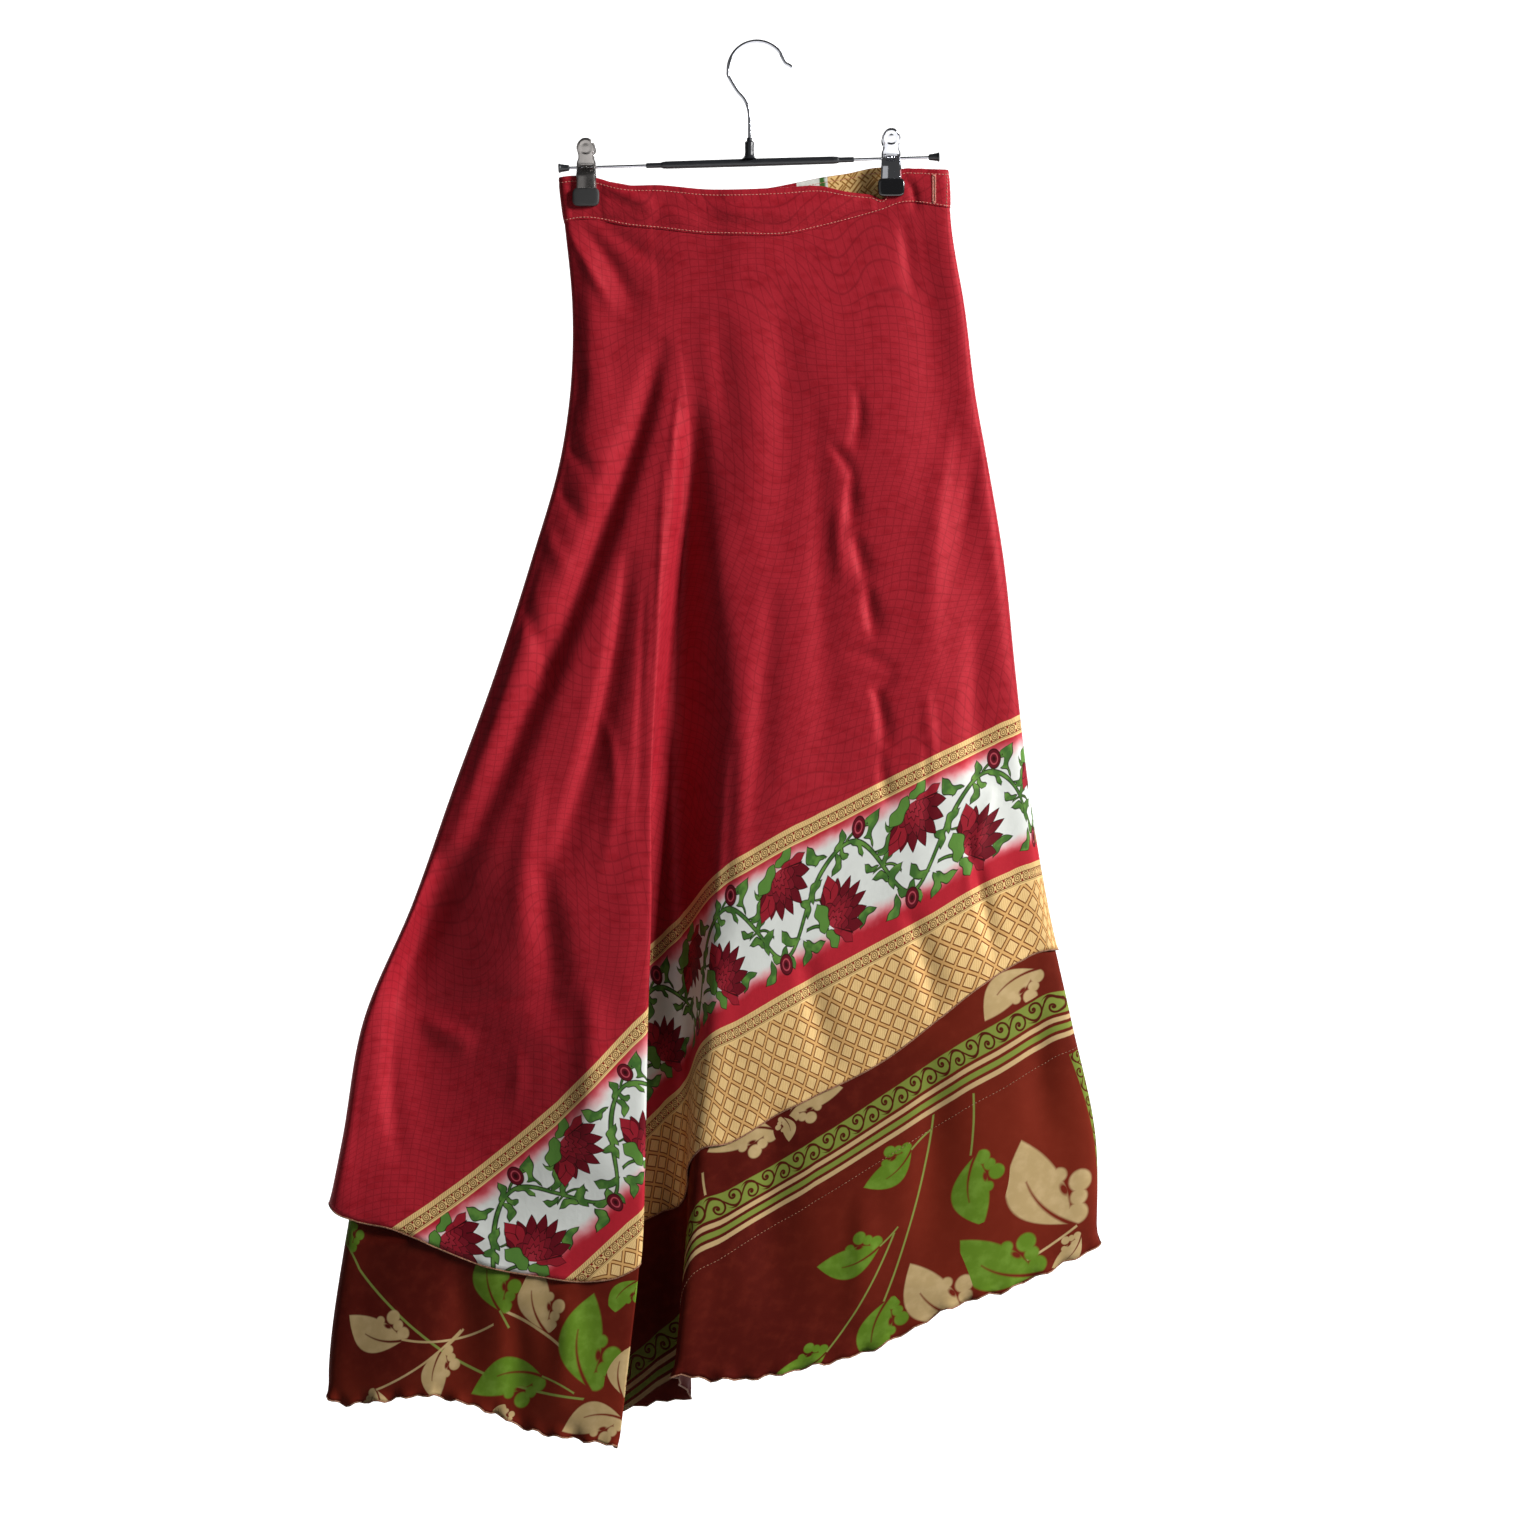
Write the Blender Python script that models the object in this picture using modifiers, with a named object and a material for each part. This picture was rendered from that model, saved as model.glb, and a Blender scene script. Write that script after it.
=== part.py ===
"""Wrap skirt of two sari cloth layers, hung by its waistband from a two-clip hanger.

All sizes below are millimetres and are turned into metres once, when a mesh is made. The origin is the inside
top of the hook. X runs to the right as the seen side is faced, the seen side looks along -Y, and Z is up, so
"down" is a distance below the origin and "out" is a distance towards the front.

The cloth is one long wrapped strip: it starts at the end of the underlap on the hidden side, turns the left
side fold, crosses the seen side, turns the right side fold and ends as the overlap. A line of guide points
follows that strip at any level, and every cloth piece is a stretch of the smooth surface through them.
"""
import math

import bmesh
import bpy
import numpy as np
from mathutils import Vector

MM = 0.001
SEAM_GAP = 0.3
SIDE_FOLD_GAP = 0.7
PANEL_SEAM_GAP = 0.6
SHORTEST_PANEL = 6.0

# The outlines are held as seen from in front, because a point that stands out towards the viewer looks larger.
VIEW_DISTANCE = 3000.0
VIEW_DOWN = 624.0
VIEW_ACROSS = 2.6

CLOTH_WALL = 1.1
LAYER_PITCH = 1.8
BAND_THICKNESS = 2.9
WRAP_CLEARANCE = 4.2
WRAP_CLEARANCE_AT_HEM = 11.0

# One row for each level of the outer layer. The lip is the free edge of the big fold, the tuck is where the cloth
# turns back behind it, the floor is the bottom of the recess and the brow is where the right-hand panel starts.
LEVEL_COLUMNS = ("down left lip tuck floor brow right left_out lip_out tuck_out floor_out brow_out right_out "
                 "back side_radius").split()
LEVEL_ROWS = (
    (110, -173, -89, -77, -58, -36, 166, 5.0, 7.5, 8, 8.5, 8.5, 5.0, 5.0, 4.2),
    (160, -167, -89, -77, -58, -36, 169, 5.2, 7.5, 8, 8.5, 8.5, 5.2, 5.0, 4.2),
    (230, -160.5, -84, -74, -56, -36.5, 180.5, 8, 10, 10, 10, 11, 8, 9, 5),
    (310, -163, -77, -63.5, -52, -36, 190.5, 11, 12, 10.5, 9, 13, 12, 13, 6),
    (360, -170.5, -70.5, -60, -54, -36, 199.5, 13, 14, 10, 8.5, 15, 15, 16, 6.5),
    (450, -196, -74, -67, -61, -34, 214.5, 16, 18, 10, 6, 19, 19, 24, 7),
    (550, -228, -87, -80, -64.5, -20, 225, 19, 23, 10, 2, 25, 22, 32, 8),
    (650, -264.5, -92, -95.5, -65, -22.5, 236.5, 22, 28, 9, -6, 30, 24, 39, 8.5),
    (750, -300, -92, -109, -63.5, -34, 253, 25, 33, 8, -14, 31, 25, 46.5, 9),
    (850, -342, -95, -119, -62.5, -42.5, 275, 27, 37, 8, -18, 32, 26, 54, 10),
    (950, -360, -97, -122.5, -64.5, -52, 296, 28, 41, 8, -21, 30, 26, 59, 11),
    (1050, -379, -100, -129, -65, -61, 297, 28, 45, 9, -23, 32, 27, 62, 12),
    (1150, -392, -110.5, -138, -61, -72, 297, 28, 48, 10, -24, 35, 28, 63.5, 12),
    (1250, -390, -122, -147, -55, -83, 297, 28, 51, 11, -25, 38, 28, 64, 12),
)
LEVELS = dict(zip(LEVEL_COLUMNS, np.array(LEVEL_ROWS, dtype=float).T))

# Shares of a panel's width at which it has guide points, and shares of the hidden side from right to left.
LEFT_SHARES = (0.1, 0.22, 0.35, 0.52, 0.7, 0.82, 0.93)
RIGHT_SHARES = (0.09, 0.2, 0.3, 0.47, 0.65, 0.78, 0.9)
OVER_SHARES = (0.06, 0.14, 0.24, 0.36, 0.5, 0.65, 0.8)
UNDER_SHARES = (0.32, 0.44, 0.56, 0.68, 0.8, 0.9, 0.96)
OVER_STEP_OUT = (0.1, 0.3)
FOLD_OPENS_DOWN = (300.0, 560.0)
LIP_ROUNDING = 3.0

# One row for each guide of the seen side: how far down the outer hem, the inner hem and the inner seam run.
HEM_COLUMNS = ("guide", "outer", "inner", "seam")
HEM_ROWS = (
    ("left_edge", 1010, 1171, 1171),
    ("left_corner", 1016, 1180, 1180),
    ("left_0", 1026, 1184, 1184),
    ("left_1", 1033, 1180.5, 1180.5),
    ("left_2", 1047.5, 1177, 1177),
    ("left_3", 1065, 1187.5, 1187.5),
    ("left_4", 1074, 1207.5, 1207.5),
    ("left_5", 1078, 1213.5, 1213.5),
    ("left_6", 1074.5, 1218, 1218),
    ("lip", 1062, 1222, 1222),
    ("lip_back", 1054, 1214, 1214),
    ("tuck", 1041, 1202, 1202),
    ("emerge", 1019, 1184, 1184),
    ("floor", 1008, 1178, 1164),
    ("brow", 965.5, 1159.5, 1085),
    ("right_0", 956, 1163, 1059),
    ("right_1", 932, 1161.5, 1033),
    ("right_2", 915, 1153.5, 1011),
    ("right_3", 886.5, 1136, 973),
    ("right_4", 845.5, 1100, 935),
    ("right_5", 817, 1085, 912),
    ("right_6", 797, 1065, 890),
    ("right_corner", 789, 1049, 877),
    ("right_edge", 789, 1045.5, 875),
)

# The same on the hidden side, where a row starts with its share of the way from the right fold to the left one.
OVER_HEM_ROWS = ((0, 789, 1045.5, 875), (0.3, 772, 1042, 850), (0.55, 800, 1062, 860), (0.8, 860, 1102, 905))
UNDER_HEM_ROWS = ((0.32, 884, 1066, 1066), (0.55, 925, 1092, 1092), (0.8, 972, 1136, 1136), (1, 1010, 1171, 1171))

# Waistband edges, one row for each place across: how far down its top edge and its seam to the cloth run.
BACK_BAND_ROWS = (
    (-172, 117.5, 155.7), (-158, 115.7, 152.5), (-139, 117.5, 153), (-120, 123, 157), (-84, 124, 161),
    (-43, 127.6, 165.3), (-13, 127.5, 166), (23, 126, 166), (56, 124.8, 159), (78, 129.5, 153),
    (100, 132.5, 146.5), (112, 134.5, 142.5), (119, 120, 140), (126, 111.4, 138.3), (139, 109.6, 138),
    (153, 110, 140), (170, 110.5, 142.7),
)
OVER_BAND_ROWS = (
    (-110, 127, 162), (-60, 129, 165), (-20, 130, 165), (14, 126, 161), (36, 121.8, 157), (57, 117.5, 153),
    (80, 114, 149), (107, 108.8, 144), (126, 109.6, 142), (170, 110.5, 142.7),
)
UNDER_BAND_ROWS = (
    (-172, 117.5, 155.7), (-140, 119, 156), (-100, 125.5, 162), (-60, 130, 166), (-20, 132, 168), (20, 133, 169),
    (70, 134, 170),
)

# Largest folds of the seen side: a soft trough from start to end, bent towards its middle point.
TROUGH_COLUMNS = "start_across start_down bend_across bend_down end_across end_down half_width depth".split()
TROUGHS = {
    "long slanting crease": (-77, 258, -104, 428, -307, 838, 13, 7),
    "soft valley beside it": (-98, 431, -128, 600, -169, 790, 20, 6),
    "left edge strip": (-158, 215, -148, 270, -152, 330, 9, 3),
    "crumple on the right": (84, 300, 78, 450, 107, 600, 15, 5),
    "pull under the right clip": (131, 150, 140, 200, 166, 420, 13, 4),
}

# Flutes of the hidden side: as deep as this at the hem, and this far apart there.
FLUTE_DEPTH = 7.0
FLUTE_LENGTH = 190.0
FLUTE_START_DOWN = 160.0
HEM_DOWN = 1100.0

INNER_INSET = 18.0
INNER_INSET_START = 760.0
INNER_INSET_END = 1040.0

# Stretches of the strip: first and last guide, columns for each guide, and whether each end meets a neighbour.
STRETCHES = {
    "back": ("left_edge", "right_edge", 1, True, True),
    "over": ("right_edge", f"over_{len(OVER_SHARES) - 1}", 2, True, False),
    "under": ("under_0", "left_edge", 2, False, True),
}
# Rows of faces from the band to the outer hem, and from there to the inner hem.
CLOTH_ROWS = {"back": (17, 4), "over": (9, 3), "under": (9, 3)}
LOWER_PANEL_ROWS = 3
BAND_ROWS = 2
SEAM_START_COLUMN = 0.03
BAND_EXTRA_COLUMN = 0.5
CUT_END_COLUMN = 0.05

# Levels at which places across are read for the band, the clips and the cut ends of the panels.
BAND_LEVEL = 140.0
CLIP_LEVEL = 130.0
CUT_LEVEL = 500.0

# Ties: place across, stretch of the strip, and side of it on which the tie hangs (1 is inside the skirt).
TIES = {"tie_over": (-84.0, "over", -1), "tie_under": (45.0, "under", 1)}
TIE_WIDTH = 26.0
TIE_TOP_BELOW_BAND_EDGE = 2.0
TIE_END_DOWN = 690.0
TIE_ROWS = 16
TIE_HANGS_FREE = 2.2
TIE_LEAVES_BAND = (165.0, 230.0)

# Hanger. The bar leans a little, its right end higher.
HOOK_WIRE_RADIUS = 1.5
HOOK_RADIUS = 25.2
STEM_ACROSS = -6.5
STEM_END_DOWN = 82.3
BAR_DOWN_AT_ORIGIN = 104.1
BAR_SLOPE = 0.0296
BAR_RADIUS = 1.3
SLEEVE_RADIUS = 3.3
SLEEVE_SPAN = (-82.0, 70.0)
COLLAR_RADIUS = 2.3
COLLAR_LENGTH = 14.5
BAR_SPAN = (-163.0, 149.0)
CAP_LENGTH = 9.5
CAP_RADII = (2.6, 4.0)
# The socket that holds the stem, as radius and distance below its top; its foot flares out onto the sleeve.
SOCKET_PROFILE = ((0.0, 0.0), (2.3, 0.0), (2.5, 3.2), (3.6, 4.0), (3.8, 12.6))

# Clips: one row for each height of a plate above or below the bar, with its half width and its stand-off.
CLIP_PLATE_ROWS = (
    ("tab top", -23.4, 0.8, 12.5), ("tab upper", -22.3, 4.0, 12.2), ("tab shoulder", -19.8, 6.6, 11.6),
    ("tab middle", -15.6, 7.8, 10.4), ("tab lower", -11.4, 7.2, 8.6), ("neck", -8.8, 6.5, 7.4),
    ("shoulder", -4.2, 8.0, 4.3), ("bar", 0.0, 8.0, 3.5), ("body", 9.0, 8.3, 5.4), ("foot", 18.8, 8.8, 5.9),
)
CLIP_PLATE_THICKNESS = 1.0
CLIP_PLATE_COLUMNS = 6
CLIP_CROWN = 1.3
JAW_TOP, JAW_BOTTOM = 19.2, 34.8
JAW_HALF_WIDTH_TOP, JAW_HALF_WIDTH = 9.6, 11.8
JAW_THICKNESS = 3.4
JAW_ROUNDING = 1.1
CLIP_ROWS = {"left": (-148.5, 0.0), "right": (116.5, -0.6)}
PLATE_LEAVES_BAR = (0.0, 9.0)
SPRING_RADIUS = 3.6
SPRING_BORE = 1.6
SPRING_HALF_LENGTH = 4.0


def smooth_read(places, values, wanted):
    """Reads a table at the wanted places along a smooth curve through its rows."""
    places, values, wanted = (np.asarray(item, dtype=float) for item in (places, values, wanted))
    slopes = np.gradient(values, places)
    wanted = np.clip(wanted, places[0], places[-1])
    row = np.clip(np.searchsorted(places, wanted, side="right") - 1, 0, len(places) - 2)
    length = places[row + 1] - places[row]
    t = (wanted - places[row]) / length
    start = values[row] * (1 + 2 * t) * (1 - t) ** 2 + slopes[row] * length * t * (1 - t) ** 2
    end = values[row + 1] * t * t * (3 - 2 * t) + slopes[row + 1] * length * t * t * (t - 1)
    return start + end


def smooth_step(low, high, value):
    """Rises from 0 at low to 1 at high without a corner."""
    t = np.clip((np.asarray(value, dtype=float) - low) / (high - low), 0.0, 1.0)
    return t * t * (3 - 2 * t)


def mix(a, b, share):
    return a + (b - a) * share


def hidden_out(share, level, over):
    """How far the hidden side stands back from the middle plane; the overlap lies behind the underlap."""
    arch = np.sqrt(math.sin(math.pi * share))
    looseness = (level["back"] - LEVELS["back"][0]) / (LEVELS["back"][-1] - LEVELS["back"][0])
    clearance = mix(WRAP_CLEARANCE, WRAP_CLEARANCE_AT_HEM, looseness)
    back = level["back"] + over * clearance * smooth_step(*OVER_STEP_OUT, share)
    return -mix(level["side_radius"], back, arch)


def side_fold(side, edge, radius, order):
    """The guide points of a round side fold, from one side of it to the other."""
    def turned(degrees, facing):
        angle = math.radians(degrees)
        return edge + radius * (1 - math.cos(angle)), facing * abs(radius) * math.sin(angle)

    first, second = ("_back", "") if order[0] < 0 else ("", "_back")
    return [(f"{side}{first}_shoulder", *turned(90, order[0])), (f"{side}{first}_corner", *turned(45, order[0])),
            (f"{side}_edge", *turned(0, order[0])), (f"{side}{second}_corner", *turned(45, order[1])),
            (f"{side}{second}_shoulder", *turned(90, order[1]))]


def guide_points(down):
    """The guide points of the wrapped strip at each level: their names, and an array of across and out."""
    level = {name: smooth_read(LEVELS["down"], LEVELS[name], down) for name in LEVEL_COLUMNS[1:]}
    left, lip, brow, right = (level[name] for name in ("left", "lip", "brow", "right"))
    radius = level["side_radius"]
    points = []
    for index, share in enumerate(UNDER_SHARES):
        points.append((f"under_{index}", mix(right, left, share), hidden_out(share, level, False)))
    points += side_fold("left", left, radius, (-1, 1))
    for index, share in enumerate(LEFT_SHARES):
        near_side = mix(radius, level["left_out"], smooth_step(0.0, 0.35, share))
        towards_lip = mix(level["left_out"], level["lip_out"] + 0.5, (share - 0.35) / 0.65)
        points.append((f"left_{index}", mix(left, lip, share), near_side if share < 0.35 else towards_lip))
    tuck_across, tuck_out = level["tuck"], level["tuck_out"]
    lip_out = level["lip_out"] - LIP_ROUNDING * smooth_step(*FOLD_OPENS_DOWN, down)
    points.append(("lip", lip, lip_out))
    points.append(("lip_back", mix(lip, tuck_across, 0.35), mix(lip_out, tuck_out, 0.35)))
    points.append(("tuck", tuck_across, tuck_out))
    opening = np.maximum(lip, tuck_across)
    points.append(("emerge", mix(opening, level["floor"], 0.35), mix(tuck_out, level["floor_out"], 0.8)))
    points.append(("floor", level["floor"], level["floor_out"]))
    points.append(("brow", brow, level["brow_out"]))
    for index, share in enumerate(RIGHT_SHARES):
        before = mix(level["brow_out"] + 1.5, level["right_out"], smooth_step(0.0, 0.65, share))
        after = mix(level["right_out"], radius, smooth_step(0.65, 1.0, share))
        points.append((f"right_{index}", mix(brow, right, share), before if share < 0.65 else after))
    points += side_fold("right", right, -radius, (1, -1))
    for index, share in enumerate(OVER_SHARES):
        points.append((f"over_{index}", mix(right, left, share), hidden_out(share, level, True)))
    names = [name for name, _, _ in points]
    return names, np.stack([np.stack([across, out], axis=-1) for _, across, out in points], axis=-2)


GUIDE = {name: index for index, name in enumerate(guide_points(LEVELS["down"])[0])}
LAST_GUIDE = len(GUIDE) - 1


def strip_curve(along, guides):
    """A centripetal Catmull-Rom curve through the guide points, read at a guide number with its fraction."""
    row = np.clip(np.floor(along).astype(int), 0, LAST_GUIDE - 1)
    t = along - row
    picks = [np.clip(row + step, 0, LAST_GUIDE) for step in (-1, 0, 1, 2)]
    before, start, end, after = (np.take_along_axis(guides, pick[:, None, None], axis=1)[:, 0] for pick in picks)
    before = np.where((row == 0)[:, None], 2 * start - end, before)
    after = np.where((row == LAST_GUIDE - 1)[:, None], 2 * end - start, after)

    def knot(a, b):
        return np.maximum(np.linalg.norm(b - a, axis=1), 1e-6) ** 0.5

    first, second, third = knot(before, start), knot(start, end), knot(end, after)
    slope_in = (start - before) / first[:, None] - (end - before) / (first + second)[:, None]
    slope_in = (slope_in + (end - start) / second[:, None]) * second[:, None]
    slope_out = (end - start) / second[:, None] - (after - start) / (second + third)[:, None]
    slope_out = (slope_out + (after - end) / third[:, None]) * second[:, None]
    t = t[:, None]
    return (start * (1 + 2 * t) * (1 - t) ** 2 + slope_in * t * (1 - t) ** 2
            + end * t * t * (3 - 2 * t) + slope_out * t * t * (t - 1))


def trough_depth(across, down):
    """How far the creases of the seen side push the cloth back at a place."""
    depth = np.zeros_like(across)
    for row in TROUGHS.values():
        fold = dict(zip(TROUGH_COLUMNS, row))
        steps = np.linspace(0, 1, 25)
        path = [(1 - steps) ** 2 * fold["start_" + axis] + 2 * steps * (1 - steps) * fold["bend_" + axis]
                + steps ** 2 * fold["end_" + axis] for axis in ("across", "down")]
        distance = np.hypot(across[:, None] - path[0], down[:, None] - path[1])
        nearest = np.argmin(distance, axis=1)
        fade = np.sin(math.pi * np.clip(steps[nearest], 0.04, 0.96)) ** 0.5
        depth += fold["depth"] * fade * np.exp(-(distance.min(axis=1) / fold["half_width"]) ** 2)
    return depth


def on_seen_side(along):
    """1 on the seen side of the strip, fading to 0 at its side folds."""
    rise = smooth_step(GUIDE["left_corner"], GUIDE["left_1"], along)
    return rise * (1 - smooth_step(GUIDE["right_5"], GUIDE["right_corner"], along))


def on_hidden_side(along):
    """1 on the hidden side of the strip, fading to 0 before its side folds."""
    under = 1 - smooth_step(GUIDE["under_4"], GUIDE["left_back_corner"], along)
    return under + smooth_step(GUIDE["right_back_corner"], GUIDE["over_2"], along)


def cloth_surface(along, down, inner):
    """The middle of the outer layer, or the place that the inner layer is set off from, as seen from in front."""
    across, out = strip_curve(along, guide_points(down)[1]).T
    if inner:
        inset = INNER_INSET * smooth_step(INNER_INSET_START, INNER_INSET_END, down)
        rise = smooth_step(GUIDE["under_2"], GUIDE["left_back_corner"], along)
        across = across + inset * rise * (1 - smooth_step(GUIDE["left_edge"], GUIDE["lip"], along))
    out = out - trough_depth(across, down) * on_seen_side(along)
    fan = np.clip((down - FLUTE_START_DOWN) / (HEM_DOWN - FLUTE_START_DOWN), 0.0, 1.2)
    flute = np.cos(2 * math.pi * across / (FLUTE_LENGTH * (0.45 + 0.55 * fan)))
    out = out - FLUTE_DEPTH * fan * flute * on_hidden_side(along)
    return np.stack([across, -out, -down], axis=-1)


def in_place(points):
    """Moves each point along its line of sight, so that it looks as the tables say from in front."""
    scale = (1 + points[:, 1] / VIEW_DISTANCE)[:, None]
    eye = np.array([VIEW_ACROSS, 0.0, -VIEW_DOWN])
    flat = points * np.array([1.0, 0.0, 1.0])
    return eye * [1, 0, 1] + (flat - eye) * scale + points * np.array([0.0, 1.0, 0.0])


def cloth_points(along, down, inward=0.0, inner=False):
    """Points of a cloth piece that lies a distance inside the outer layer's middle."""
    shape = np.broadcast(along, down).shape
    along, down = (np.broadcast_to(item, shape).ravel().astype(float) for item in (along, down))
    centre = cloth_surface(along, down, inner)
    step = 0.02
    sideways = cloth_surface(np.minimum(along + step, LAST_GUIDE), down, inner)
    sideways = sideways - cloth_surface(np.maximum(along - step, 0), down, inner)
    lengthways = cloth_surface(along, down + 1, inner) - cloth_surface(along, down - 1, inner)
    normal = np.cross(sideways, lengthways)
    normal /= np.linalg.norm(normal, axis=1)[:, None]
    return in_place(centre + normal * inward).reshape(shape + (3,))


def hem_down(along, column):
    """How far down a hem or the inner seam runs at each place of the strip."""
    column_index = HEM_COLUMNS.index(column)
    seen = [(GUIDE[row[0]], row[column_index]) for row in HEM_ROWS]
    hidden = []
    for rows, first, shares in ((UNDER_HEM_ROWS, "under_0", UNDER_SHARES), (OVER_HEM_ROWS, "over_0", OVER_SHARES)):
        table = np.array(rows, dtype=float)
        for index, share in enumerate(shares):
            hidden.append((GUIDE[first] + index, smooth_read(table[:, 0], table[:, column_index], share)))
    rows = np.array(sorted(seen + hidden), dtype=float)
    return smooth_read(rows[:, 0], rows[:, 1], along)


def band_edges(along):
    """How far down the waistband's top edge and seam run at each place of the strip."""
    across = cloth_surface(np.asarray(along, dtype=float), np.full(len(along), BAND_LEVEL), False)[:, 0]
    top, seam = np.zeros(len(along)), np.zeros(len(along))
    for rows, low, high in ((UNDER_BAND_ROWS, 0, GUIDE["left_edge"]),
                            (BACK_BAND_ROWS, GUIDE["left_edge"], GUIDE["right_edge"]),
                            (OVER_BAND_ROWS, GUIDE["right_edge"], LAST_GUIDE)):
        table = np.array(rows, dtype=float)
        here = (along >= low) & (along <= high)
        top[here] = smooth_read(table[:, 0], table[:, 1], across[here])
        seam[here] = smooth_read(table[:, 0], table[:, 2], across[here])
    return top, seam


def strip_columns(stretch, down, extra):
    """Column places of a stretch, each cut end drawn back by half a gap and given a narrow column to be square."""
    first, last, per_guide, at_start, at_end = STRETCHES[stretch]
    guides = np.arange(GUIDE[first], GUIDE[last] + 1 / per_guide / 2, 1 / per_guide)
    columns = np.sort(np.concatenate([guides, extra]))
    for end, parted, inward in ((0, at_start, CUT_END_COLUMN), (-1, at_end, -CUT_END_COLUMN)):
        if parted:
            places = np.array([columns[end], columns[end] + inward])
            ends = cloth_surface(places, np.full(2, down), False)
            columns[end] += inward * (SIDE_FOLD_GAP / 2) / np.linalg.norm(ends[1] - ends[0])
            columns = np.sort(np.append(columns, columns[end] + 2 * inward))
    return columns


def material(name, colour, roughness, metallic=0.0):
    made = bpy.data.materials.new(name)
    made.use_nodes = True
    shader = made.node_tree.nodes["Principled BSDF"]
    shader.inputs["Base Color"].default_value = (*colour, 1.0)
    shader.inputs["Roughness"].default_value = roughness
    shader.inputs["Metallic"].default_value = metallic
    made.diffuse_color = (*colour, 1.0)
    return made


def add_object(name, mesh, finish, parts):
    made = bpy.data.objects.new(name, mesh)
    made.data.materials.append(finish)
    parts.objects.link(made)
    return made


def grid_mesh(name, points):
    """A grid bent to the given rows of points, in millimetres."""
    rows, columns = points.shape[:2]
    bm = bmesh.new()
    bmesh.ops.create_grid(bm, x_segments=columns - 1, y_segments=rows - 1, size=1.0)
    for vert in bm.verts:
        column = round((vert.co.x + 1) / 2 * (columns - 1))
        row = round((vert.co.y + 1) / 2 * (rows - 1))
        vert.co = Vector(points[row, column]) * MM
    mesh = bpy.data.meshes.new(name)
    bm.to_mesh(mesh)
    bm.free()
    mesh.shade_smooth()
    return mesh


def add_wall(name, points, thickness, finish, parts):
    """An open surface through rows of points, made a closed wall of even thickness around it."""
    made = add_object(name, grid_mesh(name, points), finish, parts)
    solid = made.modifiers.new("Wall", "SOLIDIFY")
    solid.thickness = thickness * MM
    solid.offset = 0.0
    return made


def seam_halves(columns, seam):
    """Half the gap at a slanting seam, measured straight down, so that its width across the seam stays even."""
    places = cloth_points(columns, seam, LAYER_PITCH, True)
    across = np.hypot(*np.gradient(places[:, :2], axis=0).T)
    slope = np.gradient(seam) / np.maximum(across, 1e-6)
    return PANEL_SEAM_GAP / 2 * np.sqrt(1 + slope ** 2)


def row_blend(top, bottom, rows):
    return mix(top[None, :], bottom[None, :], np.linspace(0, 1, rows + 1)[:, None])


def add_skirt_cloth(parts, finishes):
    """The outer and inner layers, each as a back, an overlap and an underlap, with seams between the panels."""
    turns = [GUIDE["lip"] + 0.5, GUIDE["tuck"] + 0.5, GUIDE["floor"] + 0.5, GUIDE["floor"] + SEAM_START_COLUMN]
    for stretch, (rows, extra_rows) in CLOTH_ROWS.items():
        columns = strip_columns(stretch, CUT_LEVEL, turns if stretch == "back" else [])
        seam = band_edges(columns)[1] + SEAM_GAP
        outer_hem, inner_hem = hem_down(columns, "outer"), hem_down(columns, "inner")
        outer_rows = row_blend(seam, outer_hem, rows)
        add_wall(f"outer_{stretch}", cloth_points(columns[None, :], outer_rows), CLOTH_WALL,
                 finishes["outer cloth"], parts)
        panel_end = np.minimum(hem_down(columns, "seam"), inner_hem)
        joined = (panel_end < inner_hem - SHORTEST_PANEL) & (columns >= GUIDE["floor"])
        half_gap = seam_halves(columns, panel_end)
        upper_end = np.where(joined, panel_end - half_gap, inner_hem)
        upper_rows = np.vstack([outer_rows, row_blend(outer_hem, upper_end, extra_rows)[1:]])
        add_wall(f"inner_{stretch}", cloth_points(columns[None, :], upper_rows, LAYER_PITCH, True), CLOTH_WALL,
                 finishes["inner cloth"], parts)
        sewn = joined & (columns != GUIDE["floor"])
        if sewn.any():
            lower_rows = row_blend((panel_end + half_gap)[sewn], inner_hem[sewn], LOWER_PANEL_ROWS)
            add_wall(f"inner_lower_{stretch}", cloth_points(columns[sewn][None, :], lower_rows, LAYER_PITCH, True),
                     CLOTH_WALL, finishes["inner cloth"], parts)


def add_waistband(parts, finishes):
    """The band above the layers, in three stretches."""
    for stretch in STRETCHES:
        extra = [GUIDE["right_4"] + BAND_EXTRA_COLUMN] if stretch == "back" else []
        columns = strip_columns(stretch, BAND_LEVEL, extra)
        rows = row_blend(*band_edges(columns), BAND_ROWS)
        add_wall(f"band_{stretch}", cloth_points(columns[None, :], rows, LAYER_PITCH / 2), BAND_THICKNESS,
                 finishes["band"], parts)


def strip_place(across, down, stretch):
    """Finds where along a stretch the strip crosses a given place across; near a clip or a tie that is one place."""
    first, last = STRETCHES[stretch][:2]
    places = np.linspace(GUIDE[first], GUIDE[last], 241)
    found = cloth_surface(places, np.full(len(places), down), False)[:, 0]
    order = np.argsort(found)
    return np.interp(across, found[order], places[order])


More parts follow.
